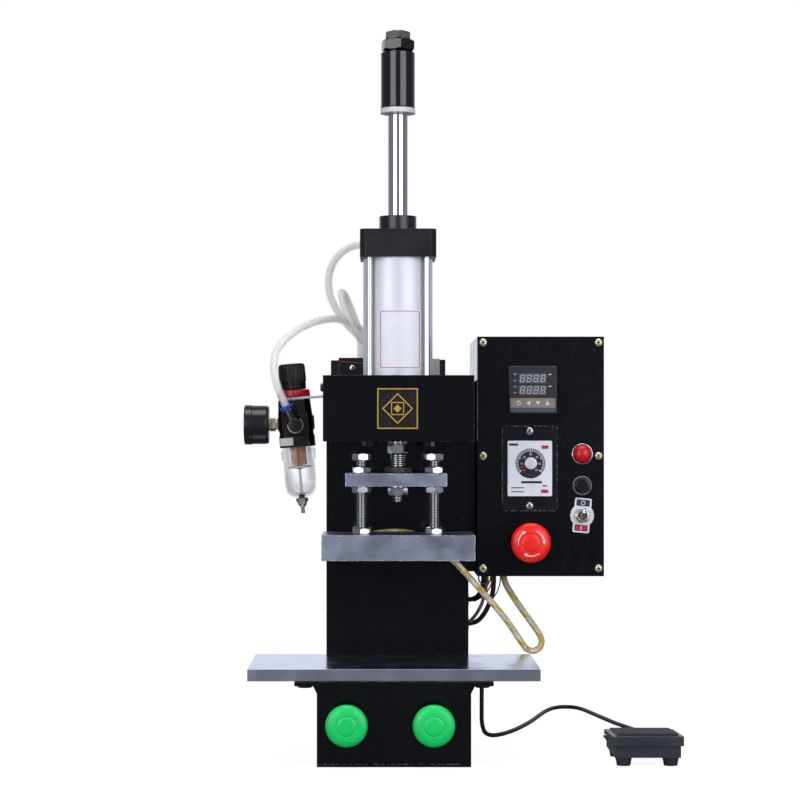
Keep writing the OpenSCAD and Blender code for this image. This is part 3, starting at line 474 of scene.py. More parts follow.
class Shape:
    """Vertices and faces collected in millimetres, with one material per group."""

    def __init__(self, *looks):
        self.looks = looks
        self.verts, self.faces, self.groups = [], [], []

    def add(self, verts, faces, place=Matrix.Identity(4), group=0):
        start = len(self.verts)
        self.verts += [place @ Vector(p) for p in verts]
        self.faces += [[start + i for i in f] for f in faces]
        self.groups += [group] * len(faces)
        return self

    def rings(self, rows, place=Matrix.Identity(4), group=0, capped=True):
        """Skin over rings with the same number of points."""
        n = len(rows[0])
        verts = [p for row in rows for p in row]
        faces = [[i * n + k, i * n + (k + 1) % n, (i + 1) * n + (k + 1) % n, (i + 1) * n + k]
                 for i in range(len(rows) - 1) for k in range(n)]
        if capped:
            last = (len(rows) - 1) * n
            faces += [list(range(n))[::-1], list(range(last, last + n))]
        return self.add(verts, faces, place, group)

    def lathe(self, profile, place=Matrix.Identity(4), group=0, steps=64):
        """Outline of (radius, height) turned about the place's Z."""
        rows = [[polar(r, 2 * pi * k / steps, z) for k in range(steps)] for r, z in profile]
        closed = profile[0] == profile[-1]
        return self.rings(rows, place, group, capped=not closed)

    def prism(self, outline, z0, z1, place=Matrix.Identity(4), group=0):
        return self.rings([[(x, y, z0) for x, y in outline], [(x, y, z1) for x, y in outline]], place,
                          group)

    def slab(self, sides, z0, z1, place=Matrix.Identity(4), group=0):
        """Block over a box_outline of these sides."""
        return self.prism(box_outline(*sides), z0, z1, place, group)

    def hexagon(self, af, height, place=Matrix.Identity(4), group=0, chamfer=1.1):
        rows = [[polar(r, a, z) for r, a in ring] for z, ring in hexagon_rows(af, height, chamfer)]
        return self.rings(rows, place, group)

    def thread(self, z0, z1, major, pitch, place=Matrix.Identity(4), group=0, steps=24, root=None):
        """Screw thread as a helix, with flat ends; its root may have a darker look, a painted shadow."""
        minor = major / 2 - 0.6 * pitch
        radii = [major / 2, major / 2, minor, minor]
        parts = [0, 0.2, 0.45, 0.75]
        count = int((z1 - z0) / pitch + 2) * 4
        rows = []
        for i in range(count + 1):
            row = []
            for k in range(steps):
                z = z0 + (i // 4 + parts[i % 4] + k / steps - 1) * pitch
                r = radii[i % 4] if z0 < z < z1 else minor
                row.append(polar(r, 2 * pi * k / steps, min(max(z, z0), z1)))
            rows.append(row)
        n = steps
        verts = [p for row in rows for p in row]
        faces, groups = [], []
        for i in range(count):
            for k in range(n):
                j = i + (4 if k == n - 1 else 0)
                if j + 1 <= count:
                    faces.append([i * n + k, j * n + (k + 1) % n, (j + 1) * n + (k + 1) % n,
                                  (i + 1) * n + k])
                    groups.append(root if root is not None and i % 4 == 2 else group)
        self.add(verts, faces, place, group)
        self.groups[-len(groups):] = groups
        return self

    def tube(self, points, diameter, sides=16, group=0, bore=0.0):
        """Round tube along a smooth route, with no twist; bore makes it a hose."""
        frames = carried_frames(points)
        rows = []
        walls = [diameter / 2] + ([bore / 2] if bore else [])
        for radius in walls:
            rows.append([[p + radius * (u * cos(2 * pi * k / sides) + v * sin(2 * pi * k / sides))
                          for k in range(sides)] for p, u, v in frames])
        if not bore:
            return self.rings(rows[0], group=group)
        outer, inner = rows
        return self.rings(outer + inner[::-1] + [outer[0]], group=group, capped=False)

    def piece(self, name, body="root", slot=None, replaces=(), bevel=0.0, crease=32):
        """Makes the Blender object, in metres, and hangs it on its body."""
        mesh = bpy.data.meshes.new(name)
        mesh.from_pydata([p * MM for p in self.verts], [], self.faces)
        for look in self.looks:
            mesh.materials.append(LOOKS[look].material)
        mesh.polygons.foreach_set("material_index", self.groups)
        tidy_mesh(mesh, crease)
        return place_piece(name, mesh, body, replaces, bevel)


def shade(mesh, crease):
    """Smooth faces, with sharp edges where the surface bends by more than crease degrees."""
    mesh.polygons.foreach_set("use_smooth", [True] * len(mesh.polygons))
    mesh.set_sharp_from_angle(angle=radians(crease))


def tidy_mesh(mesh, crease):
    """Welds equal points, drops empty faces, turns faces outwards and sets what is smooth."""
    work = bmesh.new()
    work.from_mesh(mesh)
    bmesh.ops.remove_doubles(work, verts=work.verts, dist=1e-6)
    bmesh.ops.dissolve_degenerate(work, edges=work.edges, dist=1e-7)
    bmesh.ops.recalc_face_normals(work, faces=work.faces)
    work.to_mesh(mesh)
    work.free()
    shade(mesh, crease)


def place_piece(name, mesh, body, replaces, bevel):
    made = placed(name, mesh)
    if bevel:
        rounding = made.modifiers.new("rounding", "BEVEL")
        rounding.width = bevel * MM
        rounding.segments = 3
        rounding.limit_method = "ANGLE"
        rounding.angle_limit = radians(40)
        rounding.harden_normals = True
    if body:
        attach(made, body)
    if replaces:
        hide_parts(*replaces)
    return made


def carried_frames(points):
    """Each point with two directions across the route, carried along it without twist."""
    points = [Vector(p) for p in points]
    out = []
    across = None
    for i, p in enumerate(points):
        ahead = (points[min(i + 1, len(points) - 1)] - points[max(i - 1, 0)]).normalized()
        if across is None:
            across = ahead.orthogonal()
        across = (across - ahead * across.dot(ahead)).normalized()
        out.append((p, across, ahead.cross(across)))
    return out


def smooth(points, steps):
    """Catmull-Rom curve through the points, the same one as the part's own."""
    p = [Vector(q) for q in points]
    out = []
    for i in range(len(p) - 1):
        a, b, c, d = p[max(i - 1, 0)], p[i], p[i + 1], p[min(i + 2, len(p) - 1)]
        for k in range(steps):
            t = k / steps
            out.append(0.5 * (2 * b + (c - a) * t + (2 * a - 5 * b + 4 * c - d) * t * t
                              + (3 * b - a - 3 * c + d) * t ** 3))
    return out + [p[-1]]


def finished_copy(node, width, look, crease=32):
    """A CAD node with its edges rounded, standing for the node."""
    mesh = nodes[node].data.copy()
    mesh.name = node + "_finish"
    if "custom_normal" in mesh.attributes:
        mesh.attributes.remove(mesh.attributes["custom_normal"])
    work = bmesh.new()
    work.from_mesh(mesh)
    bmesh.ops.remove_doubles(work, verts=work.verts, dist=1e-6)
    bmesh.ops.dissolve_limit(work, angle_limit=radians(0.5), verts=work.verts, edges=work.edges)
    work.to_mesh(mesh)
    work.free()
    shade(mesh, crease)
    mesh.materials.clear()
    mesh.materials.append(LOOKS[look].material)
    return place_piece(node + "_finish", mesh, nodes[node]["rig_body"], [node], width)


def paint(**looks):
    """Better materials for CAD nodes whose shape is right."""
    for node, look in looks.items():
        nodes[node].data.materials[0] = LOOKS[look].material


# ---- Foot cord ----
FOOT_CORD_D = 4.5
FOOT_CORD_ROUTE = [
    (73, 96, 64), (76.4, 96, 64), (80.8, 96, 63), (84.5, 96.1, 60.4), (87, 96.4, 56.6),
    (88, 96.8, 52), (88, 97.1, 46), (88, 97.5, 37), (88, 98, 28), (88.1, 98.6, 19.5), (89.3, 99.8, 12),
    (91.8, 101.8, 6.3), (97, 105.5, 3.1), (104, 111, 2.3), (112, 121.5, 2.3), (119, 136, 2.3),
    (126.5, 154, 2.3), (134, 176, 2.3), (142.5, 203, 2.3), (150.5, 232, 2.3), (157.5, 260, 2.3),
    (164, 286, 2.3), (170.5, 310, 2.3), (177.5, 330, 2.3), (186, 344.5, 2.3), (196, 350, 2.3),
    (205.5, 345.5, 2.3), (212, 333, 2.3), (216.5, 316, 2.3), (221, 294, 2.3), (226.5, 266, 2.3),
    (232.5, 236, 2.3), (239, 205, 2.3), (246.5, 177, 2.3), (253.5, 150, 2.3), (257.5, 122, 2.3),
    (258.5, 94, 2.3), (256.5, 66, 2.6), (252.5, 42, 5), (248.6, 21, 9.6), (247, -2, 12.5),
]


def make_foot_cord():
    curve = bpy.data.curves.new("foot_cord_run", "CURVE")
    curve.dimensions = "3D"
    curve.bevel_depth = FOOT_CORD_D / 2 * MM
    curve.bevel_resolution = 5
    curve.use_fill_caps = True
    route = smooth(FOOT_CORD_ROUTE, 6)
    spline = curve.splines.new("POLY")
    spline.points.add(len(route) - 1)
    for point, place in zip(spline.points, route):
        point.co = (*(place * MM), 1)
    curve.materials.append(LOOKS["rubber"].material)
    cord = placed("foot_cord_run", curve)
    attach(cord, "root")
    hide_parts("foot_cord")


# ---- Frame of the machine ----
def make_frame():
    for node, width, look in (("base_housing", 0.7, "base"), ("base_bottom_plate", 0.5, "bottom"),
                              ("work_table", 0.5, "table"), ("column", 0.7, "column"),
                              ("column_rear_cover", 0.3, "column"), ("head_housing", 0.8, "head")):
        finished_copy(node, width, look)
    paint(frame_bolts="sleeve")


# ---- Cylinder ----
def curved_patch(shape, radius, x0, x1, z0, z1, steps):
    """Thin skin on the front of a cylinder that stands on the origin."""
    verts, faces = [], []
    for k in range(steps + 1):
        x = x0 + (x1 - x0) * k / steps
        y = -(radius ** 2 - x ** 2) ** 0.5
        verts += [(x, y, z0), (x, y, z1)]
    for k in range(steps):
        faces.append([2 * k, 2 * k + 2, 2 * k + 3, 2 * k + 1])
    shape.add(verts, faces)


def make_cylinder():
    finished_copy("upper_cap", 0.6, "anodised")
    finished_copy("lower_cap", 0.5, "anodised")
    paint(barrel="barrel", tie_rods="chrome", rod_bushes="bronze", piston="piston")
    make_label()


LABEL_SIZE = (41.4, 58.6)
LABEL_CENTRE = (1.8, 410)


def make_label():
    """Blank sticker with a thin red frame on the barrel."""
    radius = high("barrel").x
    (w, h), (cx, cz) = LABEL_SIZE, LABEL_CENTRE
    sticker = Shape("white", "print_red")

    def wrapped(outline, lift):
        return [(x, -((radius + lift) ** 2 - x ** 2) ** 0.5, z) for x, z in outline]

    def ring(inset, r, lift):
        sides = []
        corners = box_outline(w - 2 * inset, h - 2 * inset, r, cx, cz)
        for i, (x, z) in enumerate(corners):
            x1, z1 = corners[(i + 1) % len(corners)]
            sides += [(x + (x1 - x) * t / 10, z + (z1 - z) * t / 10) for t in range(10)]
        return wrapped(sides, lift)

    curved_patch(sticker, radius + 0.08, cx - w / 2, cx + w / 2, cz - h / 2, cz + h / 2, 24)
    sticker.rings([ring(1.2, 2.0, 0.13), ring(1.9, 1.4, 0.13)], group=1, capped=False)
    sticker.piece("barrel_sticker", slot="white_enamel")


def flat_ring(shape, outer, inner, z0, z1, place, group):
    """Raised ring between two outlines that have as many points."""
    rows = [[(x, y, z) for x, y in line] for line, z in
            ((outer, z0), (outer, z1), (inner, z1), (inner, z0), (outer, z0))]
    shape.rings(rows, place, group, capped=False)


# ---- Badge: nested squares, with no lettering ----
def make_badge():
    lo, hi = low("head_badge"), high("head_badge")
    c, side = (lo + hi) / 2, hi.x - lo.x
    plate = Shape("badge", "gold")
    here = front(c.x, hi.y, c.z)
    thick = hi.y - lo.y
    plate.slab((side, side, 0.6), 0, thick - 0.25, here)
    for outer, inner, turn in ((side - 1.2, side - 3.4, 0), (21, 18.8, 45), (12.4, 10.6, 0)):
        flat_ring(plate, box_outline(outer, outer), box_outline(inner, inner), thick - 0.3, thick,
                  here @ turned(turn, "Z"), 1)
    plate.slab((5.4, 5.4), thick - 0.3, thick, here @ turned(45, "Z"), 1)
    plate.piece("badge_plate", slot="gold_foil", replaces=["head_badge"])


# ---- Screws ----
def cross_screw(name, look, place, d=7.0, height=2.4, slot="pale_brass"):
    """Pan head with a cross recess, made on a polar grid, standing on the place's XY plane."""
    shape = Shape(look, "print_navy")
    r = d / 2
    rim = fillet([(r, 0), (r, height * 0.5), (r * 0.66, height * 0.95), (0.01, height * 1.05)], r * 0.45, 6)
    shape.lathe(rim, place, steps=40)
    screw = shape.piece(name, slot=slot)
    cutter = Shape("print_navy")
    arm, width = r * 0.52, r * 0.12
    for turn in (0, 90):
        spin = place @ turned(turn + 12, "Z")
        cutter.slab((2 * arm, 2 * width), height * 0.55, height + 1, spin)
    tool = cutter.piece(name + "_tool", body=None)
    cut(screw, tool)
    return screw


def cut(made, tool):
    """Cuts the tool's shape out of the piece and removes the tool."""
    modifier = made.modifiers.new("cut", "BOOLEAN")
    modifier.object = tool
    modifier.operation = "DIFFERENCE"
    modifier.solver = "EXACT"
    modifier.use_self = True
    bpy.context.view_layer.update()
    evaluated = made.evaluated_get(bpy.context.evaluated_depsgraph_get())
    mesh = bpy.data.meshes.new_from_object(evaluated)
    made.modifiers.remove(modifier)
    made.data = mesh
    shade(mesh, 40)
    bpy.data.objects.remove(tool)


def make_screws():
    """Six panel screws, two timer screws and the small rear cover screws."""
    panel_lo, panel_hi = low("control_panel"), high("control_panel")
    rows = (panel_lo.z + 8, panel_lo.z + 122, panel_hi.z - 6)
    for i, z in enumerate(rows):
        for j, x in enumerate((panel_lo.x + 6, panel_hi.x - 5.5)):
            cross_screw(f"panel_screw_{i}{j}", "brass_screw", front(x, panel_lo.y, z), 8.0)
    frame_mid, face = middle("timer_frame"), low("timer_frame").y
    for i, s in enumerate((-1, 1)):
        cross_screw(f"timer_screw_{i}", "nickel",
                                  front(frame_mid.x, face, frame_mid.z + s * 38), 8.0)
    back = high("column_rear_cover").y
    column_lo, column_hi = low("column"), high("column")
    half_w = high("column_rear_cover").x
    heights = (column_lo.z + 12, middle("column").z, column_hi.z - 12)
    for i, z in enumerate(heights):
        for j, s in enumerate((-1, 1)):
            place = shift(s * (half_w - 2.2), back, z) @ turned(-90, "X")
            cross_screw(f"rear_screw_{i}{j}", "zinc", place, 4.4, 1.8)
    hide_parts("cover_screws")
    face_y = low("column").y
    for i, s in enumerate((-1, 1)):
        cross_screw(f"column_face_screw_{i}", "column", front(s * 66.4, face_y, 231.5), 3.0, 0.9)


# ---- Air line ----
def regulator_frame():
    """Frame of the tilted filter-regulator: origin in its body, Z along its axis, Y straight back."""
    top, bottom = middle("regulator_knob"), middle("bowl_drain")
    axis = (top - bottom).normalized()
    return Matrix.Translation(bottom + axis * 80.5) @ Matrix.Rotation(atan2(axis.x, axis.z), 4, "Y")


HOSE_D = 8.0
HOSE_BORE = 5.4
HOSE_ROUTES = {
    "supply_hose": [
        (-111.6, 4, 345), (-114.5, 4.2, 351.5), (-119.6, 5.5, 363), (-123, 8, 376), (-124, 12.5, 389),
        (-121, 19.5, 402), (-112.5, 28, 413.5), (-101, 38, 423), (-88, 50, 430), (-74, 63, 434.5),
        (-60, 73, 435.5), (-47, 77, 431), (-34, 77.5, 423.5), (-20, 75.5, 415), (-8, 72, 408.5),
        (1.5, 67.5, 403.5), (8, 62, 398),
    ],
    "upper_cap_hose": [
        (-22, 56, 510.5), (-32, 56.3, 511), (-44, 57, 509.5), (-55.5, 58, 504), (-65, 59, 493.5),
        (-70, 60, 479.5), (-69.8, 61, 463.5), (-65, 62.5, 449.5), (-57.5, 64, 437), (-48, 65, 426),
        (-38, 65, 416), (-27, 64, 408), (-18, 63, 402.5), (-12, 62, 398),
    ],
    "lower_cap_hose": [
        (-22, 56, 337), (-28.5, 56.6, 337), (-34, 60, 337.5), (-37.8, 66.5, 339.5), (-39, 74.5, 343.5),
        (-39, 82.5, 350), (-39, 88.5, 359), (-38.7, 91.2, 370), (-38.3, 91.8, 382), (-37.6, 91, 396),
        (-37.8, 89.2, 411), (-40.5, 86.8, 426), (-45, 84.6, 439), (-49, 83.3, 449), (-52.5, 80, 457),
        (-55.5, 73.6, 462), (-57.2, 65.2, 462.2), (-56.7, 58.2, 457), (-54.7, 55.3, 449),
        (-51, 54.3, 439.5), (-45.5, 53.6, 428.5), (-38, 52.8, 417), (-28, 53, 407.5), (-17, 53.5, 403),
        (-5, 53.8, 402), (8, 54.5, 402), (20, 57.5, 401.5), (28, 62, 398),
    ],
}


def make_hoses():
    for name, route in HOSE_ROUTES.items():
        hose = Shape("hose").tube(smooth(route, 4), HOSE_D, 24, bore=HOSE_BORE)
        hose.piece(name, slot="clear_hose", crease=60)
    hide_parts("air_hoses")


def fitting(shape, place, length, d):
    """Push-in end along the place's Z: a stepped body in the first look, a collet ring in the second."""
    r = d / 2
    shape.lathe(fillet([(r, 0), (r, length - 5.4), (r - 0.5, length - 4.8), (r - 0.5, length - 3.9),
                        (HOSE_D / 2 + 0.05, length - 3.9)], 0.35, 3), place, 0, 40)
    shape.lathe(fillet([(HOSE_D / 2 + 0.05, length - 4.4), (r - 0.9, length - 4.4), (r - 0.9, length - 3.1),
                        (r + 0.1, length - 2.9), (r + 0.1, length), (HOSE_D / 2 + 0.05, length)], 0.3, 3),
                place, 1, 40)


def make_fittings():
    """Two elbows behind the caps, three ports on the valve and the regulator's elbow."""
    for name, z in (("lower_elbow", 337), ("upper_elbow", 510.5)):
        elbow = Shape("black_plastic", "blue", "brass_screw")
        along = shift(-14, 37.5, z) @ turned(-90, "X")
        elbow.hexagon(14.2, 7, along, 2, 0.6)
        elbow.lathe(fillet([(5.6, 6), (5.6, 10), (7.2, 10.6), (7.2, 26), (0, 26)], 1.2), along, 0, 40)
        fitting(elbow, shift(-14, 56, z) @ turned(-90, "Y"), 8.2, 12)
        elbow.piece(name, slot="blue_plastic")
    valve = middle("valve_body")
    top = high("valve_body").z
    for i, x in enumerate((-12, 8, 28)):
        port = Shape("black_plastic", "blue")
        fitting(port, shift(x, valve.y, top - 1), 5, 12)
        port.piece(f"valve_port_{i}", slot="blue_plastic")
    swivel = Shape("moulded", "blue", "brass_screw")
    x, z = -102.5, 326
    body_front = low("regulator_body").y
    here = front(x, body_front, z)
    swivel.lathe(fillet([(8.1, 0), (8.1, 1.0), (7, 1.0), (7, 1.6)], 0.3), here, 2, 48)
    swivel.lathe(fillet([(6.6, 1.4), (6.6, 4.4), (7, 5), (7, 14.5), (0, 14.5)], 1.6, 5), here, 0, 48)
    lean = shift(x, body_front - 7.5, z) @ turned(-25.3, "Y")
    fitting(swivel, lean, 21.3, 13.6)
    swivel.piece("regulator_elbow", slot="blue_plastic")
    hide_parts("air_fittings")


def recolour(made, look, test):
    """Gives a second material to the faces whose centre, in millimetres, passes the test."""
    made.data.materials.append(LOOKS[look].material)
    index = len(made.data.materials) - 1
    for face in made.data.polygons:
        if test(face.center / MM):
            face.material_index = index


def make_valve():
    body = finished_copy("valve_body", 0.5, "valve")
    recolour(body, "black_plastic", lambda c: c.x > 42.85)
    finished_copy("valve_coil", 0.8, "black_plastic")
    paint(valve_spool="zinc")
    lo, hi = low("valve_coil"), high("valve_coil")
    cross_screw("coil_screw", "zinc", front(lo.x + 22, lo.y, hi.z - 10.5), 6.4, 1.6, "zinc_steel")
    stripe = Shape("print_red")
    x0, x1 = lo.x + 10, lo.x + 44
    line = []
    for k in range(25):
        t = k / 24
        line.append((x0 + (x1 - x0) * t, lo.y - 0.05, hi.z - 3.2 - 5.0 * t ** 1.6))
    verts = [p for x, y, z in line for p in ((x, y, z), (x, y, z - 1.0 + 0.5 * (x - x0) / (x1 - x0)))]
    stripe.add(verts, [[2 * k, 2 * k + 1, 2 * k + 3, 2 * k + 2] for k in range(24)])
    stripe.piece("coil_stripe", slot="black_plastic")


def make_regulator():
    place = regulator_frame()
    make_regulator_body(place)
    make_regulator_knob(place)
    make_bowl(place)
    make_gauge(place)
    bracket = finished_copy("regulator_bracket", 0.4, "nylon")
    screw = Shape("sleeve").lathe(fillet([(4.3, 0), (4.3, 1.7), (3.2, 2.9), (0, 2.9)], 0.4),
                                  shift(-75, 24, 364) @ turned(-90, "Y"))
    screw.piece("bracket_screw", slot="black_paint")
    recolour(bracket, "column", lambda c: c.x > -76)


def make_regulator_body(place):
    """Cast body with a square front boss, side ribs, a waist and a bonnet."""
    body = Shape("black_plastic", "zinc")
    half = 18.4

    def square(w, c, z):
        a, b = w / 2, w / 2 - c
        corners = [(a, -b), (a, b), (b, a), (-b, a), (-a, b), (-a, -b), (-b, -a), (b, -a)]
        return [(x, y, z) for x, y in fillet(corners, 1.4, 4, closed=True)]

    sides = [(34.4, -24), (35.4, -23.4), (35.4, -12.5), (34, -11.5), (34, 9.5), (33, 14), (32, 23.2),
             (31, 23.9)]
    body.rings([square(w, 5.5, z) for w, z in sides], place)
    for s in (-1, 1):
        rib = place @ shift(s * 12.2, -half + 1.0, -0.5) @ turned(90, "X")
        body.slab((1.8, 20, 0.6), -1.5, 1.4, rib)
        knob = place @ turned(90 * s, "Y")
        body.lathe(fillet([(7.2, half - 3), (7.2, half - 0.4), (6.4, half + 0.1), (0, half + 0.1)], 0.5),
                   knob)
    boss = place @ shift(0, -half + 1.6, -1.5) @ turned(90, "X")
    body.slab((21.5, 19, 1.6), -1.5, 1.6, boss)
    body.lathe(fillet([(10, 23), (10, 33.4), (6, 33.4), (6, 49.8), (0, 49.8)], 0.5), place)
    body.piece("regulator_casting", slot="black_plastic", replaces=["regulator_body"], bevel=0.3)
    label = Shape("print_white")
    here = place @ shift(-10.2, -17.72, -18) @ turned(90, "X")
    label.slab((13, 7.6, 0.4), 0, 0.12, here)
    label.piece("regulator_label", slot="zinc_steel")


def make_regulator_knob(place):
    """Knob with flutes above a plain skirt, over the red lock ring."""
    def fluted(z, r, depth):
        row = []
        for k in range(144):
            angle = 2 * pi * k / 144
            flute = depth * max(0.0, cos(18 * angle)) ** 3
            row.append(polar(r - flute, angle, z))
        return row

    profile = [(34, 12.6, 0), (34.4, 13.0, 0), (41.6, 13.1, 0), (42, 13.6, 0.2), (43, 13.75, 0.9),
               (56.5, 13.5, 0.9), (58.3, 13.2, 0.5), (59.4, 12.6, 0.1), (60, 11.6, 0), (60, 10.4, 0),
               (59.4, 10, 0), (59.4, 0.01, 0)]
    knob = Shape("dark_plastic").rings([fluted(*row) for row in profile], place)
    knob.piece("regulator_cap", "regulator_knob", "black_plastic", ["regulator_knob"])
    ring = Shape("ring_red")
    profile = [(26.05, 15.6, 0), (26.3, 16.3, 0), (27, 16.5, 0.25), (31.8, 16.4, 0.25), (33.1, 15.8, 0),
               (33.5, 14.8, 0), (33.5, 10.2, 0), (26.05, 10.2, 0), (26.05, 15.6, 0)]
    ring.rings([fluted(*row) for row in profile], place, capped=False)
    ring.piece("regulator_ring", "root", "red_plastic", ["regulator_lock_ring"])


def make_bowl(place):
    """Clear bowl with its thick collar, the pleated element, its baffle and the drain."""
    outer = [(3.2, -75), (7.5, -74.6), (11.5, -72.8), (14.4, -69.2), (15.6, -64.5), (15.9, -58),
             (15.9, -37.2), (17.2, -36.6), (17.4, -35.8), (17.4, -26.6), (17.2, -25.9), (15.6, -25.4),
             (15.6, -24.1), (13.3, -24.1), (13.3, -17.2), (11.7, -17.2), (13.4, -30), (14.2, -40),
             (14.5, -58), (14.1, -64), (12.8, -68.4), (10.2, -71.2), (6.8, -72.8), (3.2, -73.2),
             (3.2, -75)]
    bowl = Shape("bowl").lathe(outer, place, steps=72)
    for k in range(6):
        rib = place @ turned(60 * k + 15, "Z") @ shift(17.1, 0, -31.2)
        bowl.slab((1.6, 3.4, 0.4), -4.6, 4.6, rib)
    bowl.piece("filter_bowl", slot="clear_plastic", replaces=["regulator_bowl"], crease=40)
    pleats = []
    for z in (-42, -41.5, -18, -17.6):
        end = 0.5 if z in (-42, -17.6) else 0
        pleats.append([polar(7.9 - (1.0 if k % 12 < 4 else 0.0) - end, 2 * pi * k / 96, z)
                       for k in range(96)])
    core = Shape("filter", "dark_plastic", "nylon")
    core.rings(pleats, place)
    core.lathe(fillet([(4, -42), (11.4, -43.4), (11.6, -44.6), (4.4, -45.4), (1.1, -46.4), (1.1, -69.9),
                       (0, -69.9)], 0.4), place, 2)
    core.lathe(fillet([(0.01, -17.6), (8.4, -17.6), (8.4, -18.6), (0.01, -18.6)], 0.2), place, 1)
    core.piece("filter_core", slot="sintered_bronze", replaces=["filter_element"])
    drain = Shape("nickel", "dark_plastic", "root")
    drain.lathe(fillet([(0, -70.2), (6.6, -70.4), (6.6, -71.2), (2.9, -71.4), (2.9, -75.4)], 0.2), place, 1)
    drain.hexagon(10.5, 4.2, place @ shift(0, 0, -79.6), 0, 0.6)
    drain.lathe(fillet([(4.6, -79.5), (4.4, -82), (2.9, -84.2), (1.5, -84.4)], 0.5), place, 0, 40)
    drain.thread(-91, -84, 4.4, 0.9, place, root=2)
    drain.piece("drain_valve", "drain", "zinc_steel", ["bowl_drain"])


def make_gauge(place):
    """Pressure gauge that faces left: stepped case, dial with ticks, needle and lens."""
    lean = Matrix.Translation(place @ Vector((-18.5, 0, 0)))
    facing = lean @ shift(18.5, 0, 0) @ turned(-90, "Y")
    case = Shape("moulded", "white", "brass_screw")
    case.lathe(fillet([(18.1, 47.9), (18.1, 52), (19.2, 52), (20, 51), (20, 44.4), (19.4, 43.9), (19.4, 30),
                       (18.4, 27.2), (0.01, 27)], 0.7, 4), facing, 0, 96)
    case.lathe([(18.15, 48.2), (18.15, 47.9), (0.01, 47.9)], facing, 1, 96)
    case.hexagon(11.5, 6, facing @ shift(0, 0, 20.4), 2, 0.5)
    case.lathe([(4.9, 27.2), (4.9, 18.4)], facing, 2, 32)
    case.piece("gauge_body", slot="black_plastic", replaces=["gauge_case"])
    dial = Shape("dial", "print_red")
    ticks(dial, facing, 31, -45, 270, 5, (2.6, 0.5, 14.4), (1.5, 0.25, 15), (47.9, 47.97))
    ticks(dial, facing, 24, -45, 60, 1, (0.6, 0.75, 16.4), None, (47.9, 47.96), 1)
    dial.piece("gauge_dial", slot="black_plastic")
    numbers("gauge_numbers", [str(n) for n in range(0, 12, 2)], facing @ shift(0, 0, 47.9),
            11.2, 225, -45, 2.4, "dial")
    paint(gauge_needle="needle", gauge_lens="lens")


def ticks(dial, place, count, start, sweep, every, long, short, heights, group=0):
    """Marks round a dial, (length, width, radius) each; every few of them is a long one."""
    for k in range(count):
        length, width, r = short if k % every else long
        dial.slab((length, width, 0, r, 0), *heights,
                   place @ turned(start + sweep * k / (count - 1), "Z"), group)


def numbers(name, words, place, radius, first, last, height, look):
    """Plain numbers round a dial, as one mesh a little above its face."""
    shape = Shape(look)
    for i, word in enumerate(words):
        angle = radians(first + (last - first) * i / (len(words) - 1))
        text = bpy.data.curves.new(name + word, "FONT")
        text.body = word
        text.size = height * 1.35
        text.align_x = "CENTER"
        text.align_y = "CENTER"
        text.extrude = 0.03
        holder = placed(name + word, text)
        bpy.context.view_layer.update()
        flat = bpy.data.meshes.new_from_object(holder.evaluated_get(bpy.context.evaluated_depsgraph_get()))
        here = place @ shift(*polar(radius, angle, 0.03))
        shape.add([v.co for v in flat.vertices], [list(f.vertices) for f in flat.polygons], here)
        bpy.data.objects.remove(holder)
    shape.piece(name)


# ---- Control box ----
def make_box():
    finished_copy("control_box", 0.8, "box_side")
    finished_copy("control_panel", 0.5, "box")
    make_controller()
    make_timer()
    make_lamp()
    make_fuse()
    make_toggle()
    make_stop_button()


def on_panel(node):
    """Frame on the control panel's face, in front of a node's middle."""
    c = middle(node)
    return front(c.x, low("control_panel").y, c.z)


def rim(shape, sizes, place):
    """Skin over rounded rectangles (width, height, corner radius, z)."""
    shape.rings([[(x, y, z) for x, y in box_outline(w, h, r)] for w, h, r, z in sizes], place,
                capped=False)


def seven_segments(shape, place, cx, cy, h, group):
    """An unlit figure eight with slanted strokes."""
    w, t, slant = h * 0.52, h * 0.11, 0.16
    half, quarter = h / 2 - t / 2, h / 4
    strokes = [(0, half, w, t), (0, 0, w, t), (0, -half, w, t)]
    strokes += [(sx * w / 2, sy * quarter, t, h / 2 - t) for sx in (-1, 1) for sy in (-1, 1)]
    for x, y, sw, sh in strokes:
        outline = [(cx + px + slant * py, cy + py) for px, py in box_outline(sw * 0.9, sh * 0.9, 0, x, y)]
        shape.prism(outline, 0, 0.1, place, group)


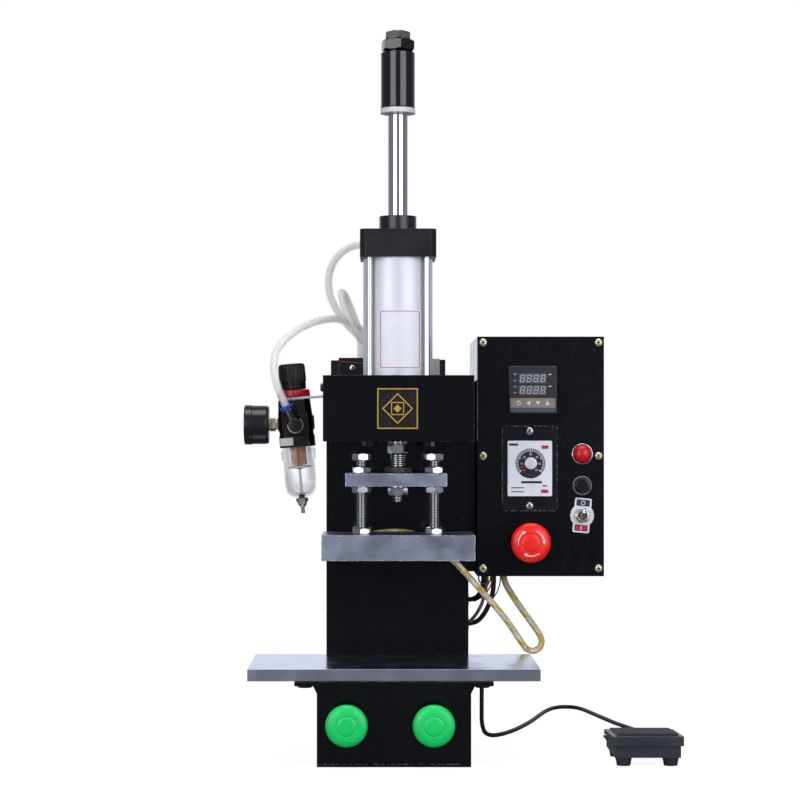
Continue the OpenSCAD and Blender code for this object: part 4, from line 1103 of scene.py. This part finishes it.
def make_controller():
    """Temperature controller: bezel, dark face, two unlit displays, marks and the printed key strip."""
    lo, hi, c = low("temp_controller"), high("temp_controller"), middle("temp_controller")
    side = hi.x - lo.x
    here = front(c.x, lo.y, c.z)
    body = Shape("bezel", "face", "window", "strip", "strip_blue", "print_grey", "print_white", "digits")
    inner = side - 2.4
    rim(body, [(side, side, 1.5, -8), (side, side, 1.5, -0.9), (side - 0.5, side - 0.5, 1.3, -0.3),
               (side - 1.4, side - 1.4, 1.1, 0), (inner + 0.5, inner + 0.5, 0.9, 0),
               (inner, inner, 0.8, -0.5), (inner, inner, 0.8, -1.0)], here)
    body.slab((side - 3.4, side - 3.4), -(hi.y - lo.y), -7.5, here)
    floor = here @ shift(0, 0, -0.9)
    body.slab((inner, inner, 0.8), -0.3, 0, floor, 1)
    body.slab((inner, 9.7, 0, 0, -13.4), 0, 0.15, floor, 3)
    body.slab((inner, 4.1, 0, 0, -20.4), 0, 0.15, floor, 4)
    for y in (11.4, -0.4):
        body.slab((28, 9.8, 0.3, -0.3, y), 0, 0.2, floor, 2)
        for k in range(4):
            seven_segments(body, floor @ shift(0, 0, 0.2), -10.6 + 6.9 * k, y, 7.6, 7)
    for y in (15.6, 9.3, 3.1, -3.1):
        body.slab((3.0, 1.6, 0.3, -18.2, y), 0, 0.12, floor, 5)
    for y in (15.4, 3.4):
        body.slab((2.8, 1.0, 0.2, 17.2, y), 0, 0.12, floor, 6)
    keys = floor @ shift(0, -13.5, 0.15)
    for cx, turn in ((-4.6, 90), (5.0, 180), (14.6, 0)):
        spin = keys @ shift(cx, 0, 0) @ turned(turn, "Z")
        body.prism([(-2.3, -1.9), (2.3, -1.9), (0, 2.3)], 0, 0.12, spin, 6)
    mark = keys @ shift(-14.4, 0, 0)
    flat_ring(body, circle_outline(2.2, steps=24), circle_outline(1.6, steps=24), 0, 0.12, mark, 6)
    body.slab((0.6, 2.4, 0, 0, 1.6), 0, 0.14, mark, 6)
    body.piece("controller_front", slot="controller_grey", replaces=["temp_controller"])


DIAL_RADIUS = 15.2


def make_timer():
    """Timer in its screwed frame: white face, black dial with ticks and numbers, turned knob."""
    finished_copy("timer_frame", 1.1, "timer_frame")
    finished_copy("timer_body", 0.4, "white")
    face_y = low("timer_body").y
    cx = middle("timer_knob").x + 2.05
    cz = high("timer_knob").z - 6.3
    here = front(cx, face_y, cz)
    dial = Shape("dial", "print_red", "print_white")
    dial.prism(circle_outline(DIAL_RADIUS, steps=72), 0, 0.12, here)
    ticks(dial, here, 33, -38, 256, 8, (4.2, 0.9, 13.0), (3.0, 0.75, 13.6), (0.12, 0.2), 2)
    for x, z, w, h in ((15.2, 16.4, 7, 3.4), (15.0, -22.6, 4.6, 1.5), (14.8, -28.2, 7.2, 3.4)):
        dial.slab((w, h, 0.2, x - 0.6, z), 0, 0.12, here, 1)
    for x, z, w, h in ((-17, 19, 9, 2.2), (1, -19, 21, 2.2), (-13, -24.6, 13, 0.9), (-13, -28.6, 13, 0.9)):
        dial.slab((w, h, 0.2, x, z), 0, 0.12, here)
    dial.piece("timer_dial", slot="timer_white")
    numbers("timer_numbers", [str(n) for n in range(0, 70, 10)], here @ shift(0, 0, 0.12),
            9.0, 228, -48, 2.3, "print_white")
    knob = Shape("satin", "needle")
    top = face_y - low("timer_knob").y
    profile = [(0.4, 6.0), (0.6, 6.25), (top - 0.9, 6.1), (top - 0.3, 5.9), (top, 5.4), (top, 4.2),
               (top - 0.2, 4.0), (top - 0.2, 0.01)]
    knob.rings(knurled(profile, 3, 0.12, 0.5, top - 0.5), here)
    knob.lathe([(1.95, 0.4), (1.95, -9.8)], here)
    hand = here @ turned(205, "Z")
    knob.prism([(5.5, -1.5), (12, -0.35), (12, 0.35), (5.5, 1.5)], 0.35, 0.95, hand, 1)
    knob.piece("timer_dial_knob", "timer_knob", "zinc_steel", ["timer_knob"])


def make_lamp():
    here = on_panel("pilot_lamp")
    lamp = Shape("chrome", "lamp", "dark_plastic")
    lamp.lathe(fillet([(11, 0), (11, 2.4), (10.4, 3.5), (9.6, 3.5), (9.4, 2.2), (8.6, 2.2)], 0.5, 4), here,
               0, 72)
    arc = [radians(a) for a in range(6, 91, 6)]
    dome = [(9.35, 2.0), (9.35, 3.6)] + [(9.3 * cos(a), 3.9 + 7.0 * sin(a)) for a in arc]
    lamp.lathe(dome, here, 1, 72)
    lamp.lathe([(7.9, -30), (7.9, 0.2), (0.01, 0.2)], here, 2, 32)
    lamp.piece("signal_lamp", slot="lamp_red", replaces=["pilot_lamp"], crease=50)


def make_fuse():
    """Fuse holder ring and its slotted, knurled cap."""
    here = on_panel("fuse_holder")
    ring = Shape("print_grey", "dark_plastic")
    ring.lathe(fillet([(9.8, 0), (9.8, 1.6), (9.1, 2.4), (8.4, 2.4), (8.4, 1.4), (4.6, 1.4)], 0.4, 4),
               here, 0, 72)
    ring.lathe([(6.2, 0.2), (6.2, -32), (0.01, -32)], here, 1, 32)
    ring.piece("fuse_ring", slot="black_plastic", replaces=["fuse_holder"])
    cap = Shape("black_plastic")
    profile = [(2.75, 7.9), (3.0, 8.15), (6.2, 8.0), (7.1, 7.5), (7.5, 6.6), (7.5, 5.6), (7.0, 5.2),
               (7.0, 0.01)]
    cap.rings(knurled(profile, 5, 0.2, 2.9, 6.5), here)
    cap.lathe([(4.4, 2.8), (4.4, -6.8), (0.01, -6.8)], here, 0, 32)
    made = cap.piece("fuse_knob", "fuse_cap", "black_plastic", ["fuse_cap"])
    slot = Shape("black_plastic").slab((8.4, 1.6), 6.2, 9, here)
    cut(made, slot.piece("fuse_slot_tool", body=None))


def make_toggle():
    """Toggle switch with its legend plate: plain bar and ring marks, hexagon nut and bush."""
    here = on_panel("toggle_switch")
    tilt = here @ turned(-5, "Z")
    plate = Shape("enamel_white", "print_navy", "print_pink", "nickel", "dark_plastic", "print_white")
    plate.prism(toggle_outline(8.5, 17.5, 12.0), 0, 0.8, tilt)
    plate.slab((13.6, 6.6, 1.0, 0, 12.7), 0.8, 0.88, tilt, 1)
    plate.slab((13.6, 6.6, 1.0, 0, -12.7), 0.8, 0.88, tilt, 2)
    plate.slab((1.1, 4.2, 0.3, 0, -12.7), 0.88, 0.95, tilt, 5)
    outer, inner = (circle_outline(r, 0, 12.7, 28) for r in (2.3, 1.5))
    flat_ring(plate, outer, inner, 0.88, 0.95, tilt, 5)
    nut = here @ shift(0, 0, 0.8) @ turned(8, "Z")
    plate.hexagon(14, 2.4, nut, 3, 0.7)
    bush = fillet([(5.9, 3), (5.9, 7.6), (5.4, 8), (4.6, 8), (3.7, 3.2)], 0.3, 3)
    plate.lathe(bush, here, 3, 48)
    plate.slab((16, 28, 0.8), -24, -2.5, here, 4)
    plate.piece("toggle_plate", slot="white_enamel", replaces=["toggle_switch"])
    finished_copy("toggle_lever", 0.0, "chrome", crease=60)


def toggle_outline(w, h, r):
    """Upright plate with a round middle: straight ends joined by the two side arcs."""
    meet = (r ** 2 - w ** 2) ** 0.5
    right = [(r * cos(radians(a)), r * sin(radians(a))) for a in range(-44, 45, 4)]
    top = fillet([(w, meet), (w, h), (-w, h), (-w, meet)], 1.8, 5)
    left = [(-x, -y) for x, y in right]
    bottom = [(-x, -y) for x, y in top]
    return right[1:-1] + top + left[1:-1] + bottom


def button_profile(reach, d, stem, back):
    """Mushroom head: undercut skirt, crowned face with an engraved ring."""
    r = d / 2
    sweep = fillet([(stem, -back), (stem, reach - 13), (r - 3, reach - 12), (r, reach - 9.2),
                    (r, reach - 5), (r - 1.6, reach - 2.4), (r - 5, reach - 0.8), (10.6, reach - 0.35)],
                   1.6, 5)
    ring = [(9.9, reach - 0.32), (9.6, reach - 0.62), (9.3, reach - 0.3), (6, reach - 0.12), (0.01, reach)]
    return sweep + ring


def make_stop_button():
    """Red twist-release head with three curved arrows, its plunger and its base."""
    paint(estop_base="black_plastic", estop_plunger="dark_plastic")
    here = on_panel("estop_head")
    reach = low("control_panel").y - low("estop_head").y
    head = Shape("red", "print_white")
    sweep = [p for p in button_profile(reach, 40, 10, -15) if p[1] > 15.2]
    head.lathe([(4.1, 15), (10, 15)] + sweep, here, 0, 96)
    for k in range(3):
        curved_arrow(head, here, 13.0, 114 - 120 * k, 74, reach)
    head.piece("stop_button", "estop_head", "stop_red", ["estop_head"], crease=50)


def curved_arrow(shape, place, radius, head_angle, span, reach):
    """Raised white arrow along an arc on the crown, its point at head_angle, turning clockwise."""
    def height(r):
        return reach - 0.38 - 0.42 * max(0.0, r - 10.6) / 4.4 + 0.12

    verts, faces = [], []
    start, stop = head_angle + span, head_angle + 16
    count = 12
    for k in range(count + 1):
        angle = radians(start + (stop - start) * k / count)
        half = 0.35 + 0.35 * k / count
        for r in (radius - half, radius + half):
            verts.append(polar(r, angle, height(r)))
    faces = [[2 * k, 2 * k + 1, 2 * k + 3, 2 * k + 2] for k in range(count)]
    base = len(verts)
    for r, a in ((radius - 1.9, head_angle + 17), (radius + 1.9, head_angle + 17), (radius, head_angle)):
        verts.append(polar(r, radians(a), height(r)))
    faces.append([base, base + 1, base + 2])
    shape.add(verts, faces, place, 1)


def make_palm_buttons():
    paint(palm_button_bases="black_plastic")
    face = low("base_housing").y
    for side in ("left", "right"):
        node = "palm_button_" + side
        c = middle(node)
        profile = [(0.01, -14)] + button_profile(face - low(node).y, 40, 7, 14)
        head = Shape("green").lathe(profile, front(c.x, face, c.z), 0, 96)
        head.piece(node + "_head", "palm_" + side, "palm_green", [node], crease=50)


# ---- Ram ----
def make_ram():
    finished_copy("crosshead_plate", 0.5, "cross")
    finished_copy("heating_plate", 0.6, "plate")
    paint(heater_cartridges="sheath")
    finished_copy("adjuster_sleeve", 0.4, "sleeve", crease=50)
    finished_copy("bumper_washer", 0.4, "nylon", crease=50)
    make_rod()
    make_levelling_bolts()


def make_rod():
    """Chromed rod with its hexagon end, the M16 and M10 threads and the nuts on it."""
    cross_lo, cross_hi = low("crosshead_plate").z, high("crosshead_plate").z
    top = high("piston_rod").z
    bottom = low("piston_rod").z
    shoulder = 698.4
    rod = Shape("chrome", "zinc", "root")
    rod.lathe(fillet([(0, 306.6), (8.4, 306.6), (10, 307.6), (10, shoulder), (8, shoulder)], 0.4, 3),
              steps=96)
    rod.hexagon(18, 9.4, shift(0, 0, 297.6), 0, 1.2)
    rod.thread(cross_hi - 0.5, 297.8, 16, 2.0, group=1, root=2)
    rod.thread(bottom, cross_hi, 10, 1.5, group=1, root=2)
    rod.thread(shoulder, top - 1.2, 16, 2.0, group=1, root=2)
    rod.lathe([(6.9, top - 1.4), (6.9, top - 1.1), (6.2, top - 0.4), (4, top), (0.01, top)], group=1)
    rod.piece("ram_rod", "ram", "chrome_steel", ["piston_rod"])
    lock = Shape("dull_zinc").hexagon(24, 6.5, shift(0, 0, cross_hi), chamfer=1.2)
    lock.piece("rod_lock_nut", "ram", "zinc_steel", ["rod_nuts"])
    lower = Shape("zinc").hexagon(17, 8, shift(0, 0, cross_lo - 9.6), chamfer=1.1)
    lower.lathe(fillet([(5.1, -1.5), (10, -1.5), (10, 0), (5.1, 0)], 0.3), shift(0, 0, cross_lo))
    lower.piece("rod_end_nut", "ram", "zinc_steel")
    Shape("sleeve").hexagon(30, 10.9, shift(0, 0, shoulder) @ turned(-20, "Z"),
                            chamfer=1.6).piece("stop_lock_nut", "ram", "zinc_steel")
    spin = shift(0, 0, shoulder + 11) @ turned(32, "Z")
    Shape("dull_zinc").hexagon(24, 7.8, spin, chamfer=1.2).piece("rod_top_nut", "ram", "zinc_steel")


def make_levelling_bolts():
    """Four M10 bolts, head up, each with three nuts; the flats stand as they came to rest."""
    flats, head = 16.5, 7.2
    cross_lo, cross_hi = low("crosshead_plate").z, high("crosshead_plate").z
    plate_top = high("heating_plate").z
    head_z = high("levelling_bolts").z - head
    turns = [(12, 40, 8, 22), (34, 20, 31, 14), (8, 27, 50, 5), (19, 3, 44, 37)]
    made = []
    for (sx, sy), (a, b, c, d) in zip(((-1, -1), (1, -1), (-1, 1), (1, 1)), turns):
        bolt = Shape("zinc", "root")
        x, y = sx * 36, sy * 20

        def here(z, turn):
            return shift(x, y, z) @ turned(turn, "Z")

        bolt.hexagon(flats, head, here(head_z, a))
        bolt.thread(plate_top - 9, head_z + 0.2, 10, 1.5, shift(x, y, 0), root=1)
        for z, height, turn in ((cross_hi, 6.3, b), (cross_lo - 6.5, 6.5, c), (plate_top, 5.8, d)):
            bolt.hexagon(flats, height, here(z, turn))
        made.append(bolt.piece(f"levelling_bolt_{len(made)}", "ram", "zinc_steel"))
    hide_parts("levelling_bolts")


# ---- Leads between the box, the column and the heating plate ----
LEAD_D = 6.5
LEAD_ROUTE = [
    (-34, 46.5, 211.5), (-26, 46.5, 215), (-15, 46.5, 217), (-4, 46.5, 217.7), (8, 46.5, 217),
    (20, 46.5, 214.4), (33, 46.5, 208), (46, 46.6, 198.8), (59, 47.3, 186.7), (71.7, 49, 173),
    (86, 54, 157), (100, 60.5, 141), (112.5, 67.5, 125.5), (121.5, 73.5, 112.5), (128.5, 78.5, 102),
    (134, 82, 95.3), (140.8, 85.8, 92.8), (147.3, 89.2, 95.5), (150, 92, 101.8), (148, 93.6, 108.8),
    (143.8, 94.4, 115.4), (138, 95, 123.5), (130, 95.8, 134.5), (121.5, 96.6, 147), (114.5, 97.4, 158.5),
    (111.5, 97.9, 166), (111, 98, 171.5),
]
CABLE_D = 5.0
CABLE_ROUTES = [
    [(100, 88, 171.5), (100, 88.4, 164), (99, 90, 153), (95.5, 92.5, 141), (90, 95, 130),
     (83, 97.5, 122.5), (74.5, 99, 120)],
    [(89, 80, 171.5), (89, 81.2, 165), (87.5, 86, 156.5), (84, 92.5, 149.5), (79.5, 97, 146),
     (74.5, 99, 145)],
]


def lead_look():
    """Glass-fibre sleeving: cream, with a braid, yellow tracer dashes and dark red flecks."""
    look = Look("glass_sleeving", Roughness=0.75)
    uv = look.node("ShaderNodeUVMap", {"uv_map": "along"}).outputs[0]
    parts = look.node("ShaderNodeSeparateXYZ", Vector=uv).outputs
    run, turn = parts[0], parts[1]

    def stripes(pitch, lean, width):
        phase = look.math("FRACT", look.plus(look.math("DIVIDE", run, pitch), look.times(turn, lean)))
        return look.below(phase, width)

    patches = look.noise(7, detail=2.0)
    cream = look.ramp(patches, [(0.35, rgb("#d8cba8")), (0.65, rgb("#fbf4e2"))])
    tracer = look.times(stripes(26.0, 2.0, 0.38), look.above(look.noise(5), 0.44))
    color = look.mix(tracer, cream, rgb("#eac41a"))
    fleck = look.times(stripes(45.0, -3.0, 0.09), look.above(look.noise(4), 0.5))
    color = look.mix(fleck, color, rgb("#a06a1c"))
    weave = look.plus(stripes(1.4, 6.0, 0.5), stripes(1.4, -6.0, 0.5))
    look.set(Base_Color=color)
    return look.bump(weave, 0.12)


def make_lead():
    """The heater's lead as a braided tube that follows the heating plate at its upper end."""
    LOOKS["lead"] = lead_look()
    route = smooth(LEAD_ROUTE, 6)
    sides = 20
    shape = Shape("lead").tube(route, LEAD_D, sides)
    mesh = bpy.data.meshes.new("heater_lead")
    mesh.from_pydata([p * MM for p in shape.verts], [], shape.faces)
    mesh.materials.append(LOOKS["lead"].material)
    mesh.polygons.foreach_set("use_smooth", [True] * len(mesh.polygons))
    layer = mesh.uv_layers.new(name="along").data
    travelled = [0.0]
    for a, b in zip(route, route[1:]):
        travelled.append(travelled[-1] + (b - a).length)
    for face in mesh.polygons:
        rings = [mesh.loops[i].vertex_index // sides for i in face.loop_indices]
        around = [mesh.loops[i].vertex_index % sides for i in face.loop_indices]
        wraps = max(around) == sides - 1 and min(around) == 0 and len(around) == 4
        for i, ring, k in zip(face.loop_indices, rings, around):
            layer[i].uv = (travelled[ring], (sides if wraps and k == 0 else k) / sides)
    lead = placed("heater_lead", mesh)
    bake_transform(lead)
    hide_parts("box_leads")


def make_cables():
    """Two black cables and the thin wires that leave the box beside them."""
    for i, route in enumerate(CABLE_ROUTES):
        Shape("rubber").tube(smooth(route, 6), CABLE_D, 20).piece(f"column_cable_{i}", slot="black_rubber")
    wires = [
        ("wire_red", 1.5, [(97, 86, 173), (96, 84, 166), (92, 85, 158), (88, 88, 150), (84, 93, 146.5),
                           (79, 96, 145.5)]),
        ("wire_red", 1.5, [(99, 86, 173), (97, 82.5, 162), (91.5, 84, 152), (86, 90, 147),
                           (80, 95.5, 143.5)]),
        ("wire_blue", 1.3, [(107, 93, 173), (107, 90, 166), (104.5, 87, 156), (100, 87, 148.5),
                            (95, 90, 143.5)]),
        ("wire_brown", 1.6, [(85, 84, 173), (84, 80, 168), (86, 77, 164), (92, 77, 163), (97, 80, 167),
                             (98, 85, 172.5)]),
        ("wire_pink", 3.6, [(93, 82, 173), (92.5, 82, 163), (90.5, 84, 152), (87, 88, 140),
                            (81.5, 93, 129.5), (75, 98, 121.5)]),
    ]
    for i, (look, d, route) in enumerate(wires):
        Shape(look).tube(smooth(route, 6), d, 12).piece(f"box_wire_{i}", slot="black_rubber")
    paint(cord_grommets="rubber")


# ---- Foot pedal ----
def make_pedal():
    """Moulded foot switch with a dull pad on the treadle and a bright hinge pin."""
    base = finished_copy("pedal_base", 0.6, "pedal")
    recolour(base, "zinc", lambda c: abs(c.y + 26) < 2.3 and abs(c.z - 20.2) < 2.3)
    treadle = finished_copy("pedal_treadle", 1.0, "pedal")
    mid_x = middle("pedal_treadle").x
    recolour(treadle, "pad", lambda c: c.z > 28.3 and c.y > -92.5 and abs(c.x - mid_x) < 28.7)


# ---- Lights and floor ----
def area_light(name, place, aim, size, watts, tint=(1, 1, 1)):
    light = bpy.data.lights.new(name, "AREA")
    light.shape = "RECTANGLE"
    light.size, light.size_y = size
    light.energy = watts
    light.color = tint
    made = placed(name, light)
    made.location = place
    made.rotation_euler = (Vector(aim) - Vector(place)).to_track_quat("-Z", "Y").to_euler()


def make_studio():
    """White backdrop behind, dim sides and front, two tall soft boxes beside the viewer, one above."""
    mesh = bpy.data.meshes.new("floor")
    half = 6.0
    mesh.from_pydata([(-half, -half, 0), (half, -half, 0), (half, half, 0), (-half, half, 0)], [],
                     [(0, 1, 2, 3)])
    look = Look("studio_floor", Roughness=0.8, Emission_Color=(1, 1, 1, 1))
    look.set(Base_Color=look.ramp(look.noise(400), [(0.3, rgb("#5c5c5d")), (0.7, rgb("#606061"))]))
    seen = look.node("ShaderNodeLightPath").outputs["Is Camera Ray"]
    look.set(Emission_Strength=look.spread(seen, 0, 1, 0.04, 0.93))
    mesh.materials.append(look.material)
    floor = placed("floor", mesh)
    floor.location.z = -0.0005
    make_world()
    area_light("left_box", (-1.2, -1.85, 0.5), (0, 0, 0.35), (1.4, 2.2), 30, (0.97, 0.98, 1))
    area_light("right_box", (1.3, -1.78, 0.5), (0, 0, 0.35), (1.5, 2.2), 31, (0.97, 0.98, 1))
    area_light("top_box", (0, -0.3, 2.0), (0, 0, 0.3), (1.4, 1.0), 16)


def make_world():
    """White to the eye; for the light, bright only behind the machine."""
    world = bpy.data.worlds.new("studio")
    bpy.context.scene.world = world
    world.use_nodes = True
    tree = world.node_tree

    def link(a, b):
        tree.links.new(a, b)

    seen = tree.nodes["Background"]
    seen.inputs["Color"].default_value = (1, 1, 1, 1)
    lit = tree.nodes.new("ShaderNodeBackground")
    lit.inputs["Color"].default_value = (0.86, 0.89, 1.0, 1)
    way = tree.nodes.new("ShaderNodeSeparateXYZ")
    link(tree.nodes.new("ShaderNodeTexCoord").outputs["Generated"], way.inputs[0])
    ramp = tree.nodes.new("ShaderNodeMapRange")
    link(way.outputs[1], ramp.inputs["Value"])
    for socket, number in zip(ramp.inputs[1:5], (0.55, 0.85, 0.25, 1.0)):
        socket.default_value = number
    link(ramp.outputs[0], lit.inputs["Strength"])
    rays = tree.nodes.new("ShaderNodeLightPath")
    choose = tree.nodes.new("ShaderNodeMixShader")
    link(rays.outputs["Is Camera Ray"], choose.inputs[0])
    link(lit.outputs[0], choose.inputs[1])
    link(seen.outputs[0], choose.inputs[2])
    link(choose.outputs[0], tree.nodes["World Output"].inputs[0])


make_camera()
make_foot_cord()
make_frame()
make_cylinder()
make_badge()
make_screws()
make_hoses()
make_fittings()
make_valve()
make_regulator()
make_box()
make_palm_buttons()
make_ram()
make_lead()
make_cables()
make_pedal()
make_studio()
bpy.context.scene.view_settings.view_transform = "Standard"
